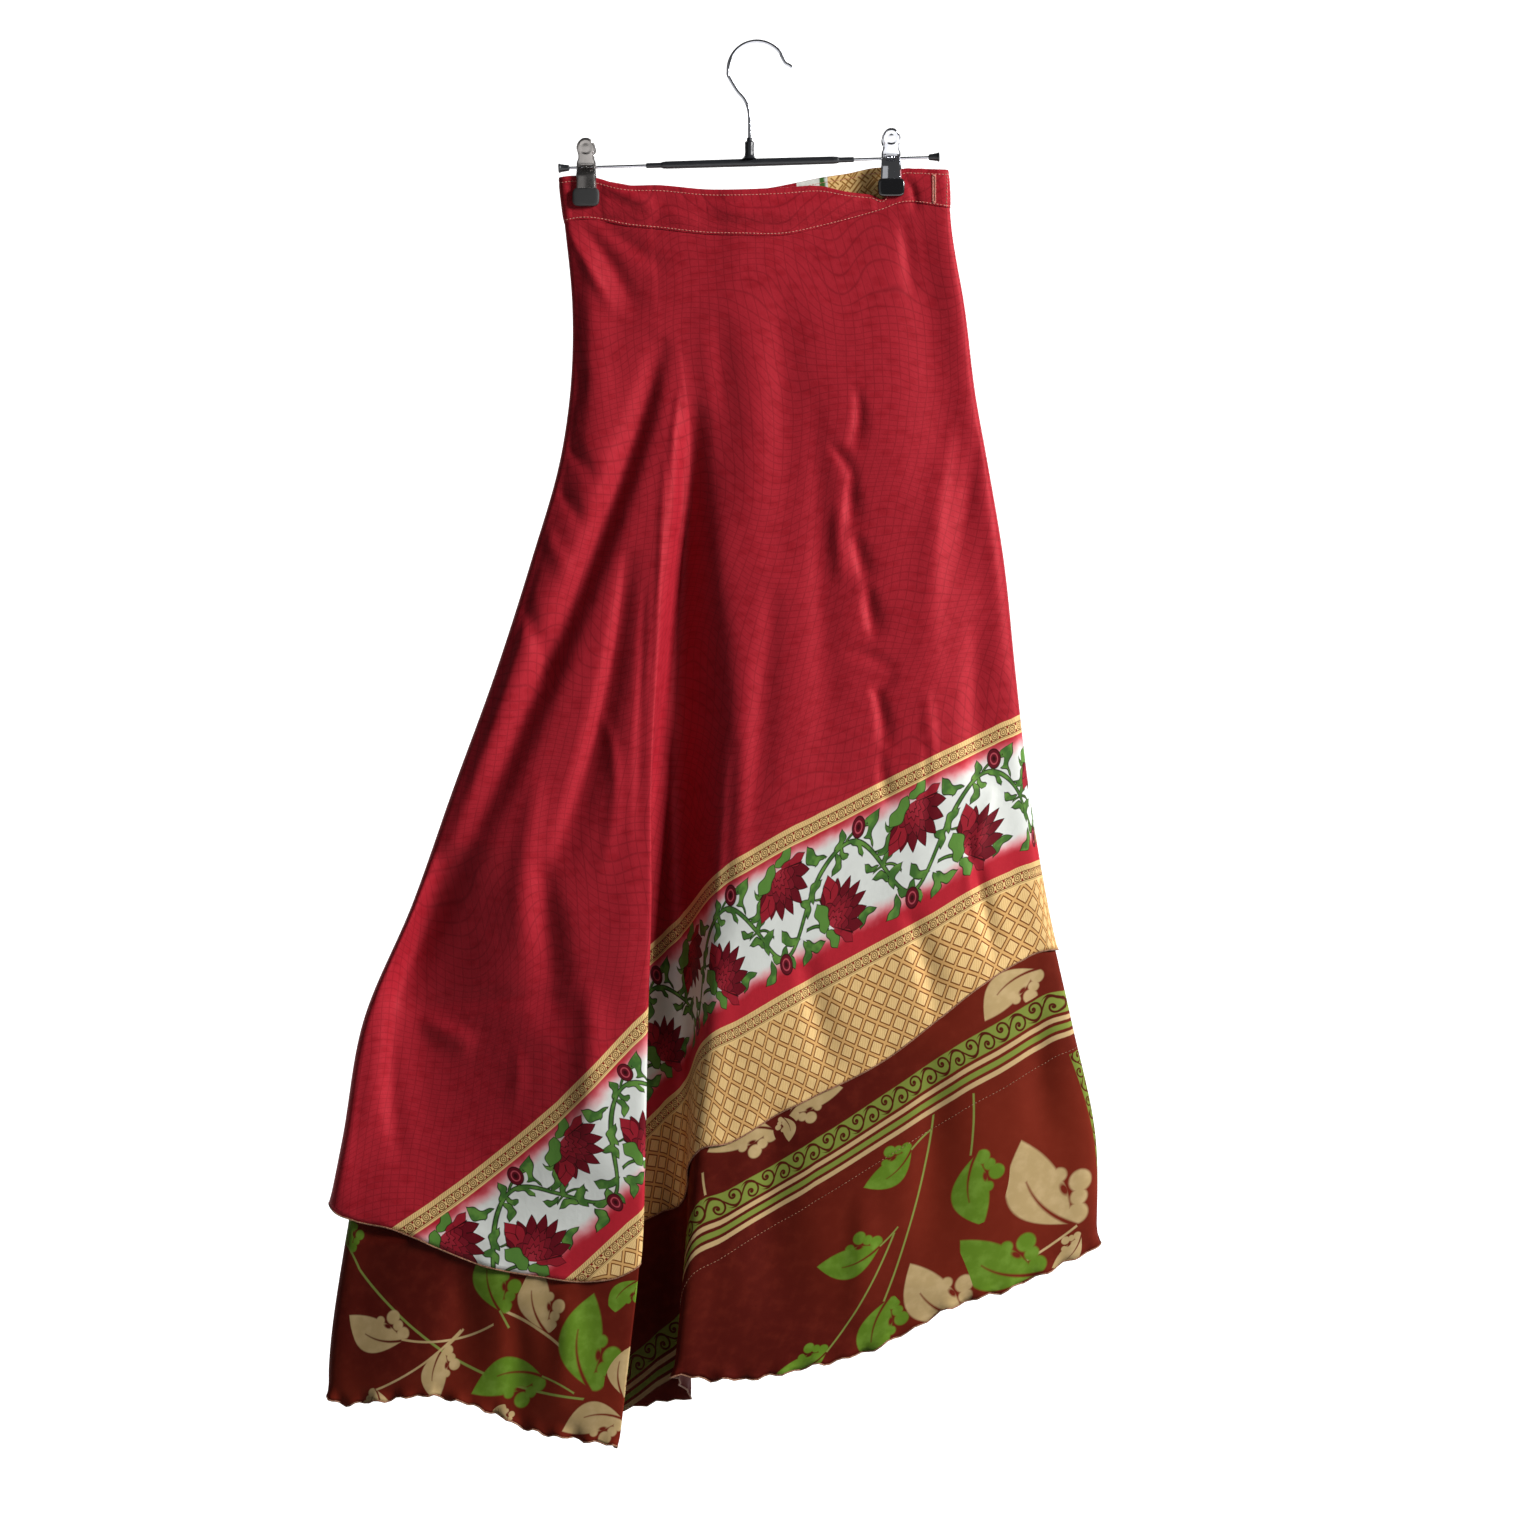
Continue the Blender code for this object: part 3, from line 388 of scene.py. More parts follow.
def guide_points(down):
    """The guide points of the wrapped strip at each level: their names, and an array of across and out."""
    level = {name: smooth_read(LEVELS["down"], LEVELS[name], down) for name in LEVEL_COLUMNS[1:]}
    left, lip, brow, right = (level[name] for name in ("left", "lip", "brow", "right"))
    radius = level["side_radius"]
    points = []
    for index, share in enumerate(UNDER_SHARES):
        points.append((f"under_{index}", mix(right, left, share), hidden_out(share, level, False)))
    points += side_fold("left", left, radius, (-1, 1))
    for index, share in enumerate(LEFT_SHARES):
        if share < LEFT_RISE_ENDS:
            out = mix(radius, level["left_out"], smooth_step(0.0, LEFT_RISE_ENDS, share))
        else:
            towards_lip = (share - LEFT_RISE_ENDS) / (1 - LEFT_RISE_ENDS)
            out = mix(level["left_out"], level["lip_out"] + LIP_PROUD, towards_lip)
        points.append((f"left_{index}", mix(left, lip, share), out))
    tuck_across, tuck_out = level["tuck"], level["tuck_out"]
    lip_out = level["lip_out"] - LIP_ROUNDING * smooth_step(*FOLD_OPENS_DOWN, down)
    points.append(("lip", lip, lip_out))
    points.append(("lip_back", mix(lip, tuck_across, INTO_TUCK), mix(lip_out, tuck_out, INTO_TUCK)))
    points.append(("tuck", tuck_across, tuck_out))
    opening = np.maximum(lip, tuck_across)
    points.append(("emerge", mix(opening, level["floor"], INTO_FLOOR),
                   mix(tuck_out, level["floor_out"], FLOOR_DEPTH_SHARE)))
    points.append(("floor", level["floor"], level["floor_out"]))
    points.append(("brow", brow, level["brow_out"]))
    for index, share in enumerate(RIGHT_SHARES):
        if share < RIGHT_FALL_STARTS:
            from_brow = smooth_step(0.0, RIGHT_FALL_STARTS, share)
            out = mix(level["brow_out"] + BROW_PROUD, level["right_out"], from_brow)
        else:
            out = mix(level["right_out"], radius, smooth_step(RIGHT_FALL_STARTS, 1.0, share))
        points.append((f"right_{index}", mix(brow, right, share), out))
    points += side_fold("right", right, -radius, (1, -1))
    for index, share in enumerate(OVER_SHARES):
        points.append((f"over_{index}", mix(right, left, share), hidden_out(share, level, True)))
    names = [name for name, _, _ in points]
    return names, np.stack([np.stack([across, out], axis=-1) for _, across, out in points], axis=-2)


GUIDE = {name: index for index, name in enumerate(guide_points(LEVELS["down"])[0])}
LAST_GUIDE = len(GUIDE) - 1
LAST_OVER = f"over_{len(OVER_SHARES) - 1}"
print("guides along the strip:", len(GUIDE))


# %% A curve through the guides
def strip_curve(along, guides):
    """A centripetal Catmull-Rom curve through the guide points, read at a guide number with its fraction."""
    row = np.clip(np.floor(along).astype(int), 0, LAST_GUIDE - 1)
    t = along - row
    picks = [np.clip(row + step, 0, LAST_GUIDE) for step in (-1, 0, 1, 2)]
    before, start, end, after = (np.take_along_axis(guides, pick[:, None, None], axis=1)[:, 0]
                                 for pick in picks)
    before = np.where((row == 0)[:, None], 2 * start - end, before)
    after = np.where((row == LAST_GUIDE - 1)[:, None], 2 * end - start, after)

    def knot(a, b):
        return np.maximum(np.linalg.norm(b - a, axis=1), 1e-6) ** 0.5

    first, second, third = knot(before, start), knot(start, end), knot(end, after)
    slope_in = (start - before) / first[:, None] - (end - before) / (first + second)[:, None]
    slope_in = (slope_in + (end - start) / second[:, None]) * second[:, None]
    slope_out = (end - start) / second[:, None] - (after - start) / (second + third)[:, None]
    slope_out = (slope_out + (after - end) / third[:, None]) * second[:, None]
    t = t[:, None]
    return (start * (1 + 2 * t) * (1 - t) ** 2 + slope_in * t * (1 - t) ** 2
            + end * t * t * (3 - 2 * t) + slope_out * t * t * (t - 1))


print("the strip ends at guide", LAST_GUIDE)

# %% [markdown]
# ## Creases
# Satin shows every crease. The large folds are in the solids already. The finer ones were placed one by one
# from the photo as troughs and ridges: a bent path, how wide it is on each side and how deep. A ridge has a
# negative depth, and all of them widen away from the pull that makes them. The hidden side isn't in the
# photo, so it gets flutes and a few creases of the same kind.

# %% Crease tables
TROUGH_COLUMNS = ("start_across start_down bend_across bend_down end_across end_down "
                  "left_width right_width depth").split()
WIDENING, PATH_STEPS, FADE_POWER = (0.65, 1.25), 19, 0.7
SEEN_TROUGHS = (
    # The slanting fold, and the soft shade left of its foot.
    (-82, 256, -116, 428, -320, 838, 15, 12, 12),
    (-292, 700, -286, 860, -276, 1040, 50, 84, 27),
    (-146, 820, -142, 890, -150, 990, 14, 18, -6),
    # Second fold beside it, with a thin ridge along its right side.
    (-112, 440, -126, 590, -184, 738, 8, 15, 8),
    (-190, 706, -178, 780, -178, 866, 16, 15, 7),
    (-140, 578, -106, 632, -140, 736, 6, 6, -2),
    (-188, 640, -208, 710, -204, 800, 12, 12, -4),
    # The left side turns away from the light.
    (-148, 176, -139, 280, -152, 410, 11, 19, -3.8),
    (-180, 440, -236, 640, -312, 830, 12, 20, -5.5),
    (-164, 262, -148, 290, -160, 318, 5, 6, 2.2),
    (-318, 800, -330, 870, -336, 960, 16, 12, -5),
    # The valley right of the lip.
    (-56, 312, -72, 450, -74, 640, 9, 26, 12),
    (-72, 590, -76, 740, -78, 900, 8, 27, 9),
    # Fine ridges on the lip.
    (-80, 352, -90, 560, -92, 830, 3.5, 3.5, -2),
    (-68, 300, -72, 330, -76, 380, 3, 4, -1.6),
    (-98, 470, -103, 600, -104, 700, 4, 5, 2),
    # Pulls that fan out below the left clip.
    (-156, 156, -124, 190, -102, 240, 7, 8, 3),
    (-140, 156, -108, 176, -78, 200, 6, 7, 2.4),
    (-164, 166, -146, 196, -122, 238, 5, 5, -2.6),
    # Small creases along the left side.
    (-180, 335, -160, 350, -138, 385, 6, 6, 2.6),
    (-186, 372, -164, 392, -148, 428, 6, 6, 2.4),
    (-197, 412, -176, 436, -163, 470, 7, 7, -2.4),
    (-216, 470, -190, 505, -180, 560, 8, 9, 3),
    # Press crease across the left part, and the angular forms below it.
    (-306, 842, -230, 826, -158, 834, 6, 7, 2),
    (-314, 846, -326, 900, -308, 985, 7, 8, 3),
    (-292, 850, -268, 862, -246, 872, 10, 8, -4),
    (-344, 872, -352, 930, -354, 1000, 7, 8, 2.4),
    (-210, 872, -204, 900, -214, 930, 5, 6, -1.6),
    # Soft hollows down the middle of the seen side.
    (-34, 236, -24, 330, -36, 440, 14, 20, 4),
    (18, 210, 30, 330, 26, 470, 18, 26, 4),
    (14, 470, 4, 600, -6, 720, 12, 14, 4),
    (-20, 600, -26, 720, -32, 800, 7, 9, 4),
    (50, 300, 58, 480, 60, 660, 12, 16, 3),
    # The crumple down the right part: short kinks, one under the other.
    (86, 300, 92, 330, 82, 354, 4, 7, 3.4),
    (62, 350, 76, 360, 84, 380, 4, 6, 3),
    (84, 372, 77, 394, 84, 424, 4, 8, 4.2),
    (84, 424, 86, 446, 96, 472, 4, 9, 4),
    (96, 470, 94, 492, 104, 520, 4, 9, 4.6),
    (76, 532, 98, 530, 122, 546, 5, 5, 2.2),
    (122, 550, 110, 558, 100, 566, 5, 6, 2.2),
    (100, 560, 110, 580, 110, 616, 4, 8, 4.4),
    (108, 616, 106, 640, 116, 668, 4, 7, 3),
    (72, 400, 68, 430, 76, 470, 6, 5, -2.6),
    # Long light ridges towards the right side.
    (172, 330, 148, 430, 154, 560, 14, 8, -3),
    (203, 372, 213, 450, 218, 560, 11, 8, -2.6),
    (196, 330, 180, 400, 172, 480, 8, 9, 2.4),
    (190, 500, 186, 590, 192, 650, 9, 14, 4),
    (148, 560, 154, 620, 150, 690, 9, 5, -3),
    (137, 152, 146, 200, 168, 420, 20, 17, 2.8),
    (126, 154, 131, 180, 136, 226, 6, 6, 1.8),
    # Creases through the border on the right.
    (182, 690, 194, 736, 206, 800, 4, 8, 5),
    (206, 650, 190, 700, 184, 745, 6, 4, -2.6),
    (128, 750, 150, 800, 158, 860, 8, 14, 4.5),
    (146, 600, 150, 640, 146, 700, 5, 8, 3.4),
    (34, 780, 56, 850, 62, 900, 10, 15, 4),
    (246, 840, 240, 900, 252, 960, 12, 14, 4),
    (150, 880, 158, 960, 146, 1080, 16, 26, 6),
    (20, 920, 0, 1020, 26, 1120, 20, 28, 6),
    (90, 1000, 96, 1060, 84, 1120, 12, 18, -4),
    (-262, 1060, -250, 1110, -262, 1180, 16, 22, 6),
    (-170, 1080, -160, 1130, -176, 1200, 14, 16, -5),
    (-214, 1090, -204, 1150, -214, 1220, 10, 14, 4),
    # Crumples in the sag of the band and beside the right clip.
    (-44, 145, 22, 161, 92, 131, 5, 9, -5),
    (-134, 126, -112, 132, -86, 147, 4, 6, -3),
    (-84, 149, -68, 155, -50, 154, 3, 4, -2),
    (-150, 150, -128, 156, -104, 152, 3, 3, 1.8),
    (128, 118, 140, 126, 136, 150, 4, 4, 2.4),
)
HIDDEN_TROUGHS = (
    (-40, 180, -60, 300, -100, 460, 11, 18, 5),
    (60, 170, 70, 300, 60, 470, 10, 16, 4),
    (120, 190, 150, 330, 190, 520, 12, 18, 5),
    (-120, 180, -150, 300, -210, 520, 12, 16, -4),
    (-20, 420, -10, 560, -40, 720, 14, 22, 6),
    (150, 600, 170, 700, 200, 800, 12, 20, 5),
    (-180, 560, -220, 700, -260, 860, 14, 22, 6),
    (60, 640, 40, 760, 60, 900, 14, 18, -5),
)
FLUTE_DEPTH, FLUTE_LENGTH, FLUTE_START_DOWN, HEM_DOWN = 7.0, 190.0, 160.0, 1100.0
FLUTE_NARROWEST, FLUTE_FAN_END = 0.45, 1.2
INNER_INSET, INNER_INSET_DOWN = 18.0, (760.0, 1040.0)
LAYER_PITCH = 1.8
print("creases seen:", len(SEEN_TROUGHS), "hidden:", len(HIDDEN_TROUGHS))


# %% The cloth's surface
def trough_depth(troughs, across, down):
    """How far a set of creases pushes the cloth back at a place."""
    depth = np.zeros_like(across)
    steps = np.linspace(0, 1, PATH_STEPS)
    for row in troughs:
        fold = dict(zip(TROUGH_COLUMNS, row))
        path = np.array([
            (1 - steps) ** 2 * fold["start_" + axis] + 2 * steps * (1 - steps) * fold["bend_" + axis]
            + steps ** 2 * fold["end_" + axis] for axis in ("across", "down")])
        reach = 3.0 * max(fold["left_width"], fold["right_width"])
        near = ((across > path[0].min() - reach) & (across < path[0].max() + reach)
                & (down > path[1].min() - reach) & (down < path[1].max() + reach))
        if near.any():
            places = np.stack([across[near], down[near]])[:, :, None]
            ahead = np.diff(path, axis=1)[:, None, :]
            from_start = places - path[:, None, :-1]
            share = np.clip((from_start * ahead).sum(0) / (ahead ** 2).sum(0), 0, 1)
            distance = np.linalg.norm(from_start - share * ahead, axis=0)
            nearest = np.argmin(distance, axis=1)
            picks = np.arange(len(nearest)), nearest
            run = (nearest + share[picks]) / (len(steps) - 1)
            fade = np.sin(math.pi * np.clip(run, 0.0, 1.0)) ** FADE_POWER
            direction, offset = ahead[:, 0, nearest], (from_start - share * ahead)[:, picks[0], picks[1]]
            on_left = direction[0] * offset[1] > direction[1] * offset[0]
            width = np.where(on_left, fold["left_width"], fold["right_width"]) * mix(*WIDENING, run)
            depth[near] += fold["depth"] * fade * np.exp(-(distance[picks] / width) ** 2)
    return depth


def on_seen_side(along):
    """1 on the seen side of the strip, fading to 0 at the side folds."""
    rise = smooth_step(GUIDE["left_corner"], GUIDE["left_0"], along)
    return rise * (1 - smooth_step(GUIDE["right_6"], GUIDE["right_corner"], along))


def on_hidden_side(along):
    """1 on the hidden side of the strip, fading to 0 at the side folds."""
    under = 1 - smooth_step(GUIDE["under_4"], GUIDE["left_back_corner"], along)
    return under + smooth_step(GUIDE["right_back_corner"], GUIDE["over_2"], along)


def cloth_surface(along, down, inner):
    """The middle of the outer layer, or what the inner layer is set off from, as seen from in front."""
    across, out = strip_curve(along, guide_points(down)[1]).T
    if inner:
        inset = INNER_INSET * smooth_step(*INNER_INSET_DOWN, down)
        rise = smooth_step(GUIDE["under_2"], GUIDE["left_back_corner"], along)
        across = across + inset * rise * (1 - smooth_step(GUIDE["left_edge"], GUIDE["lip"], along))
    out = out - trough_depth(SEEN_TROUGHS, across, down) * on_seen_side(along)
    hidden = on_hidden_side(along)
    fan = np.clip((down - FLUTE_START_DOWN) / (HEM_DOWN - FLUTE_START_DOWN), 0.0, FLUTE_FAN_END)
    flute = np.cos(2 * math.pi * across / (FLUTE_LENGTH * (FLUTE_NARROWEST + (1 - FLUTE_NARROWEST) * fan)))
    out = out + (trough_depth(HIDDEN_TROUGHS, across, down) - FLUTE_DEPTH * fan * flute) * hidden
    return np.stack([across, -out, -down], axis=-1)


def across_at(places, down, inner=False):
    """How far across the places of the strip lie at one level."""
    return cloth_surface(places, np.full(len(places), float(down)), inner)[:, 0]


def running_length(path):
    """The length of a path up to each of its points."""
    return np.r_[0.0, np.cumsum(np.linalg.norm(np.diff(path, axis=0), axis=1))]


def in_place(points):
    """Moves each point along its line of sight, so that it looks as the tables say from in front."""
    scale = (1 + points[:, 1] / VIEW_DISTANCE)[:, None]
    eye = np.array([VIEW_ACROSS, 0.0, -VIEW_DOWN])
    flat = points * np.array([1.0, 0.0, 1.0])
    return eye * [1, 0, 1] + (flat - eye) * scale + points * np.array([0.0, 1.0, 0.0])


SIDE_STEP = 0.02


def cloth_points(along, down, inward=0.0, inner=False):
    """Points of a cloth piece that lies a distance inside the outer layer's middle."""
    along, down, inward = np.broadcast_arrays(along, down, inward)
    shape = along.shape
    along, down, inward = (item.ravel().astype(float) for item in (along, down, inward))
    centre = cloth_surface(along, down, inner)
    sideways = cloth_surface(np.minimum(along + SIDE_STEP, LAST_GUIDE), down, inner)
    sideways = sideways - cloth_surface(np.maximum(along - SIDE_STEP, 0), down, inner)
    lengthways = cloth_surface(along, down + 1, inner) - cloth_surface(along, down - 1, inner)
    normal = np.cross(sideways, lengthways)
    normal /= np.linalg.norm(normal, axis=1)[:, None]
    return in_place(centre + normal * inward[:, None]).reshape(shape + (3,))


lip_place = cloth_points(np.array([float(GUIDE["lip"])]), np.array([600.0]))[0]
print("the lip at 600 mm down:", [round(float(value), 1) for value in lip_place])

# %% [markdown]
# ## Hems, seams and the printed border along the strip
# One table says, guide by guide, how far down each line of the seen side runs: both hems, the inner seam,
# and the two gold trims of the border, read from where the photo shows them. Between two guides each line
# is read on a smooth curve, so a line that goes behind the big fold comes out again at the right height.

# %% Lines along the strip
LINE_COLUMNS = ("guide", "outer", "inner", "seam", "trim", "lattice")
LINE_ROWS = (
    ("left_edge", 1010, 1171, 1310, 1080, 1253),
    ("left_corner", 1016, 1180, 1310, 1077, 1250),
    ("left_0", 1026, 1184, 1310, 1056.5, 1229.5),
    ("left_1", 1033, 1180.5, 1310, 1029, 1202),
    ("left_2", 1047.5, 1177, 1310, 1002, 1175),
    ("left_3", 1065, 1187.5, 1308, 964, 1136),
    ("left_4", 1074, 1207.5, 1304, 921.5, 1094.7),
    ("left_5", 1078, 1213.5, 1298, 889, 1062.5),
    ("left_6", 1074.5, 1218, 1290, 858, 1032),
    ("lip", 1062, 1222, 1282, 838.5, 1012),
    ("lip_back", 1054, 1214, 1262, 828, 997.5),
    ("tuck", 1041, 1202, 1236, 809, 971),
    ("emerge", 1019, 1184, 1194, 775, 926),
    ("floor", 1008, 1178, 1164, 756, 904),
    ("brow", 965.5, 1159.5, 1085, 719, 866),
    ("right_0", 956, 1163, 1059, 701.5, 848.7),
    ("right_1", 932, 1161.5, 1033, 683.5, 828),
    ("right_2", 915, 1153.5, 1011, 670, 810.5),
    ("right_3", 886.5, 1136, 973, 647.5, 784),
    ("right_4", 845.5, 1100, 935, 625, 757),
    ("right_5", 817, 1085, 912, 609.5, 736),
    ("right_6", 797, 1065, 890, 595.5, 721),
    ("right_corner", 789, 1049, 877, 585.5, 711.5),
    ("right_edge", 789, 1045.5, 875, 584, 710.5),
)
# The same on the hidden side. A row starts with its share of the way from the right fold to the left one.
OVER_LINE_ROWS = (
    (0, 789, 1045.5, 875, 584, 710.5), (0.3, 772, 1042, 850, 564, 692), (0.55, 800, 1062, 860, 590, 718),
    (0.8, 860, 1102, 905, 652, 781),
)
UNDER_LINE_ROWS = (
    (0.32, 884, 1066, 1310, 960, 1133), (0.55, 925, 1092, 1310, 1000, 1173),
    (0.8, 972, 1136, 1310, 1050, 1223), (1, 1010, 1171, 1310, 1080, 1253),
)


def line_down(along, column):
    """How far down a line runs at each place of the strip."""
    pick = LINE_COLUMNS.index(column)
    places = [(GUIDE[row[0]], row[pick]) for row in LINE_ROWS]
    for rows, first, shares in ((UNDER_LINE_ROWS, "under_0", UNDER_SHARES),
                                (OVER_LINE_ROWS, "over_0", OVER_SHARES)):
        for index, share in enumerate(shares):
            places.append((GUIDE[first] + index, read_rows(rows, pick, share)))
    return read_rows(sorted(places), 1, along)


for line in LINE_COLUMNS[1:]:
    at_lip = line_down(np.array([float(GUIDE["lip"])]), line)[0]
    print(line, "at the lip:", round(float(at_lip), 1), "mm down")

# %% Edges of the waistband
BAND_LEVEL = 140.0
BACK_BAND_ROWS = (
    (-172, 117.5, 155.7), (-158, 115.7, 152.5), (-139, 117.5, 153), (-120, 123, 157), (-84, 124, 161),
    (-43, 127.6, 165.3), (-13, 127.5, 166), (23, 126, 166), (56, 124.8, 159), (78, 129.5, 153),
    (100, 132.5, 146.5), (112, 134.5, 142.5), (119, 120, 140), (126, 111.4, 138.3), (139, 109.6, 138),
    (153, 110, 140), (170, 110.5, 142.7),
)
OVER_BAND_ROWS = (
    (-110, 127, 162), (-60, 129, 165), (-20, 130, 165), (14, 126, 161), (36, 121.8, 157), (57, 117.5, 153),
    (80, 114, 149), (107, 108.8, 144), (126, 109.6, 142), (170, 110.5, 142.7),
)
UNDER_BAND_ROWS = (
    (-172, 117.5, 155.7), (-140, 119, 156), (-100, 125.5, 162), (-60, 130, 166), (-20, 132, 168),
    (20, 133, 169), (70, 134, 170),
)


def band_edges(along):
    """How far down the waistband's top edge and seam run at each place of the strip."""
    along = np.asarray(along, dtype=float)
    across = across_at(along, BAND_LEVEL)
    edges = np.zeros((2, len(along)))
    for rows, low, high in ((UNDER_BAND_ROWS, 0, GUIDE["left_edge"]),
                            (BACK_BAND_ROWS, GUIDE["left_edge"], GUIDE["right_edge"]),
                            (OVER_BAND_ROWS, GUIDE["right_edge"], LAST_GUIDE)):
        here = (along >= low) & (along <= high)
        for edge, column in zip(edges, (1, 2)):
            edge[here] = read_rows(rows, column, across[here])
    return edges[0], edges[1]


print("band rows:", len(BACK_BAND_ROWS), len(OVER_BAND_ROWS), len(UNDER_BAND_ROWS))

# %% [markdown]
# ## Maps that the prints are drawn on
# A print needs flat coordinates that don't stretch where the cloth folds. Two maps are made, both in real
# lengths. The cloth map follows the threads: lengths along the strip and down it. The border map is
# slanted: one direction runs along the gold trim through every fold, the other straight across it.

# %% Lengths along the strip
MAP_LEVELS = np.linspace(100.0, 1250.0, 47)
MAP_PLACES = np.arange(0.0, LAST_GUIDE + 0.01, 0.125)
lengths = []
for level in MAP_LEVELS:
    run = running_length(cloth_surface(MAP_PLACES, np.full(len(MAP_PLACES), level), False)[:, :2])
    lengths.append(run - np.interp(GUIDE["lip"], MAP_PLACES, run))
LENGTHS = np.array(lengths)


def length_along(along, down):
    """Length along the strip from the edge of the big fold, at a level."""
    column = np.clip(along / MAP_PLACES[1], 0, len(MAP_PLACES) - 1.001)
    row = np.clip((down - MAP_LEVELS[0]) / (MAP_LEVELS[1] - MAP_LEVELS[0]), 0, len(MAP_LEVELS) - 1.001)
    c, r = column.astype(int), row.astype(int)
    upper = mix(LENGTHS[r, c], LENGTHS[r, c + 1], column - c)
    lower = mix(LENGTHS[r + 1, c], LENGTHS[r + 1, c + 1], column - c)
    return mix(upper, lower, row - r)


BORDER_WIDTH = 127.0
SLANT_AVERAGE, STEEPEST_SLANT = 25, 0.8


def slanted_map(along, down, column, width_column=None):
    """Lengths along a slanting line of the cloth and across it, for any place on the strip."""
    line = line_down(MAP_PLACES, column)
    run = running_length(cloth_surface(MAP_PLACES, line, False))
    run -= np.interp(GUIDE["lip"], MAP_PLACES, run)
    rise = np.pad(-np.gradient(line, run + MAP_PLACES * 1e-6), SLANT_AVERAGE // 2, mode="edge")
    rise = np.convolve(rise, np.ones(SLANT_AVERAGE) / SLANT_AVERAGE, "valid")
    sine = np.interp(along, MAP_PLACES, np.clip(rise, -STEEPEST_SLANT, STEEPEST_SLANT))
    cosine = np.sqrt(1 - sine ** 2)
    start = np.interp(along, MAP_PLACES, line)
    drift = length_along(along, down) - length_along(along, start)
    sideways = np.interp(along, MAP_PLACES, run) + drift * cosine - (down - start) * sine
    if width_column:
        cosine = BORDER_WIDTH / (line_down(along, width_column) - start)
    return sideways, (down - start) * cosine


border_run = slanted_map(MAP_PLACES, line_down(MAP_PLACES, "trim"), "trim")[0]
print("border runs", round(float(np.ptp(border_run))), "mm")

# %% [markdown]
# ## Making a sheet of cloth
# Each panel is a grid of points on the strip. Its columns are close together where the cloth turns and
# further apart where it is flat. A wall made by the Solidify modifier gives the sheet its two faces and its
# edges.

# %% Cloth sheets
CLOTH_WALL, BAND_WALL, TIE_WALL = 0.6, 0.4, 1.0
sheets = {}


def show(name, mesh, finish, replaced):
    """Puts a piece into the scene, riding on the body and standing for its solids."""
    piece = bpy.data.objects.new(name, mesh)
    bpy.context.scene.collection.objects.link(piece)
    piece.data.materials.append(finish.material)
    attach(piece, "root")
    if replaced:
        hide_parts(*replaced)
    return piece


def grid_mesh(name, points, maps=()):
    """A mesh through rows of points in millimetres, with a UV map for each pair of flat coordinates."""
    rows, columns = points.shape[:2]
    index = np.arange(rows * columns).reshape(rows, columns)
    faces = np.stack([index[:-1, :-1], index[1:, :-1], index[1:, 1:], index[:-1, 1:]], axis=-1)
    faces = faces.reshape(-1, 4)
    mesh = bpy.data.meshes.new(name)
    mesh.from_pydata((points.reshape(-1, 3) * MM).tolist(), [], faces.tolist())
    for map_name, pair in dict(maps).items():
        layer = mesh.uv_layers.new(name=map_name)
        flat = np.stack([np.broadcast_to(value, (rows, columns)).ravel() for value in pair], -1)
        layer.data.foreach_set("uv", (flat[faces.ravel()] * MM).ravel())
    mesh.shade_smooth()
    return mesh


def wall(piece, thickness):
    """Gives a sheet its two faces."""
    solid = piece.modifiers.new("two faces", "SOLIDIFY")
    solid.thickness = thickness * MM
    solid.offset = 0.0
    return piece


def add_sheet(name, points, maps, finish, thickness, replaced=None):
    """Puts a sheet of cloth into the scene and keeps it for the list of flat sizes."""
    mesh = grid_mesh(name, points, maps)
    sheets[name] = wall(show(name + "_cloth", mesh, finish, replaced or [name]), thickness)
    print(name, "points:", points.shape[:2])


print("walls:", CLOTH_WALL, BAND_WALL, TIE_WALL, "mm")

# %% Columns of a sheet, and the waves of its hem
FINEST, HIDDEN_COARSER, INNER_COARSER = 4.6, 1.7, 1.1
HIPS_AND_HEM = (300.0, 900.0)
SIDE_GAP = 0.04375
STRETCHES = {
    "back": ("left_edge", "right_edge"),
    "over": ("right_edge", LAST_OVER),
    "under": ("under_0", "left_edge"),
}


def fine_columns(first, last, finest):
    """Columns from one guide to another, no wider apart than a finest step at the hips or the hem."""
    columns = []
    for guide in range(GUIDE[first], GUIDE[last]):
        ends = np.array([guide, guide + 1.0])
        widest = max(float(np.diff(length_along(ends, np.full(2, level)))[0]) for level in HIPS_AND_HEM)
        count = max(3, math.ceil(widest / finest))
        columns += [guide + step / count for step in range(count)]
    return np.array(columns + [float(GUIDE[last])])


def row_blend(top, bottom, rows):
    """Rows of levels, evenly spaced from a top line to a bottom line."""
    return mix(top[None, :], bottom[None, :], np.linspace(0, 1, rows + 1)[:, None])


def stretch_columns(stretch, finest):
    """The columns of a stretch; where it meets the next one at a side fold it stops a little short of it."""
    columns = fine_columns(*STRETCHES[stretch], finest)
    if stretch != "under":
        columns[0] += SIDE_GAP
    if stretch != "over":
        columns[-1] -= SIDE_GAP
    return columns


FRILL_REACH = 16.0
SECOND_WAVE = {"height": 0.6, "pitch": 1.73, "start": 1.1}


def frill(along, down, hem, depth, pitch):
    """The small waves of a narrow overlocked hem, strongest at the edge."""
    place = 2 * math.pi * length_along(along, np.broadcast_to(hem, down.shape))
    near = np.clip(1 - (hem - down) / FRILL_REACH, 0, 1) ** 2
    second = np.sin(place / (pitch * SECOND_WAVE["pitch"]) + SECOND_WAVE["start"])
    return depth * near * (np.sin(place / pitch) + SECOND_WAVE["height"] * second)


print("columns on the seen side:", len(stretch_columns("back", FINEST)))

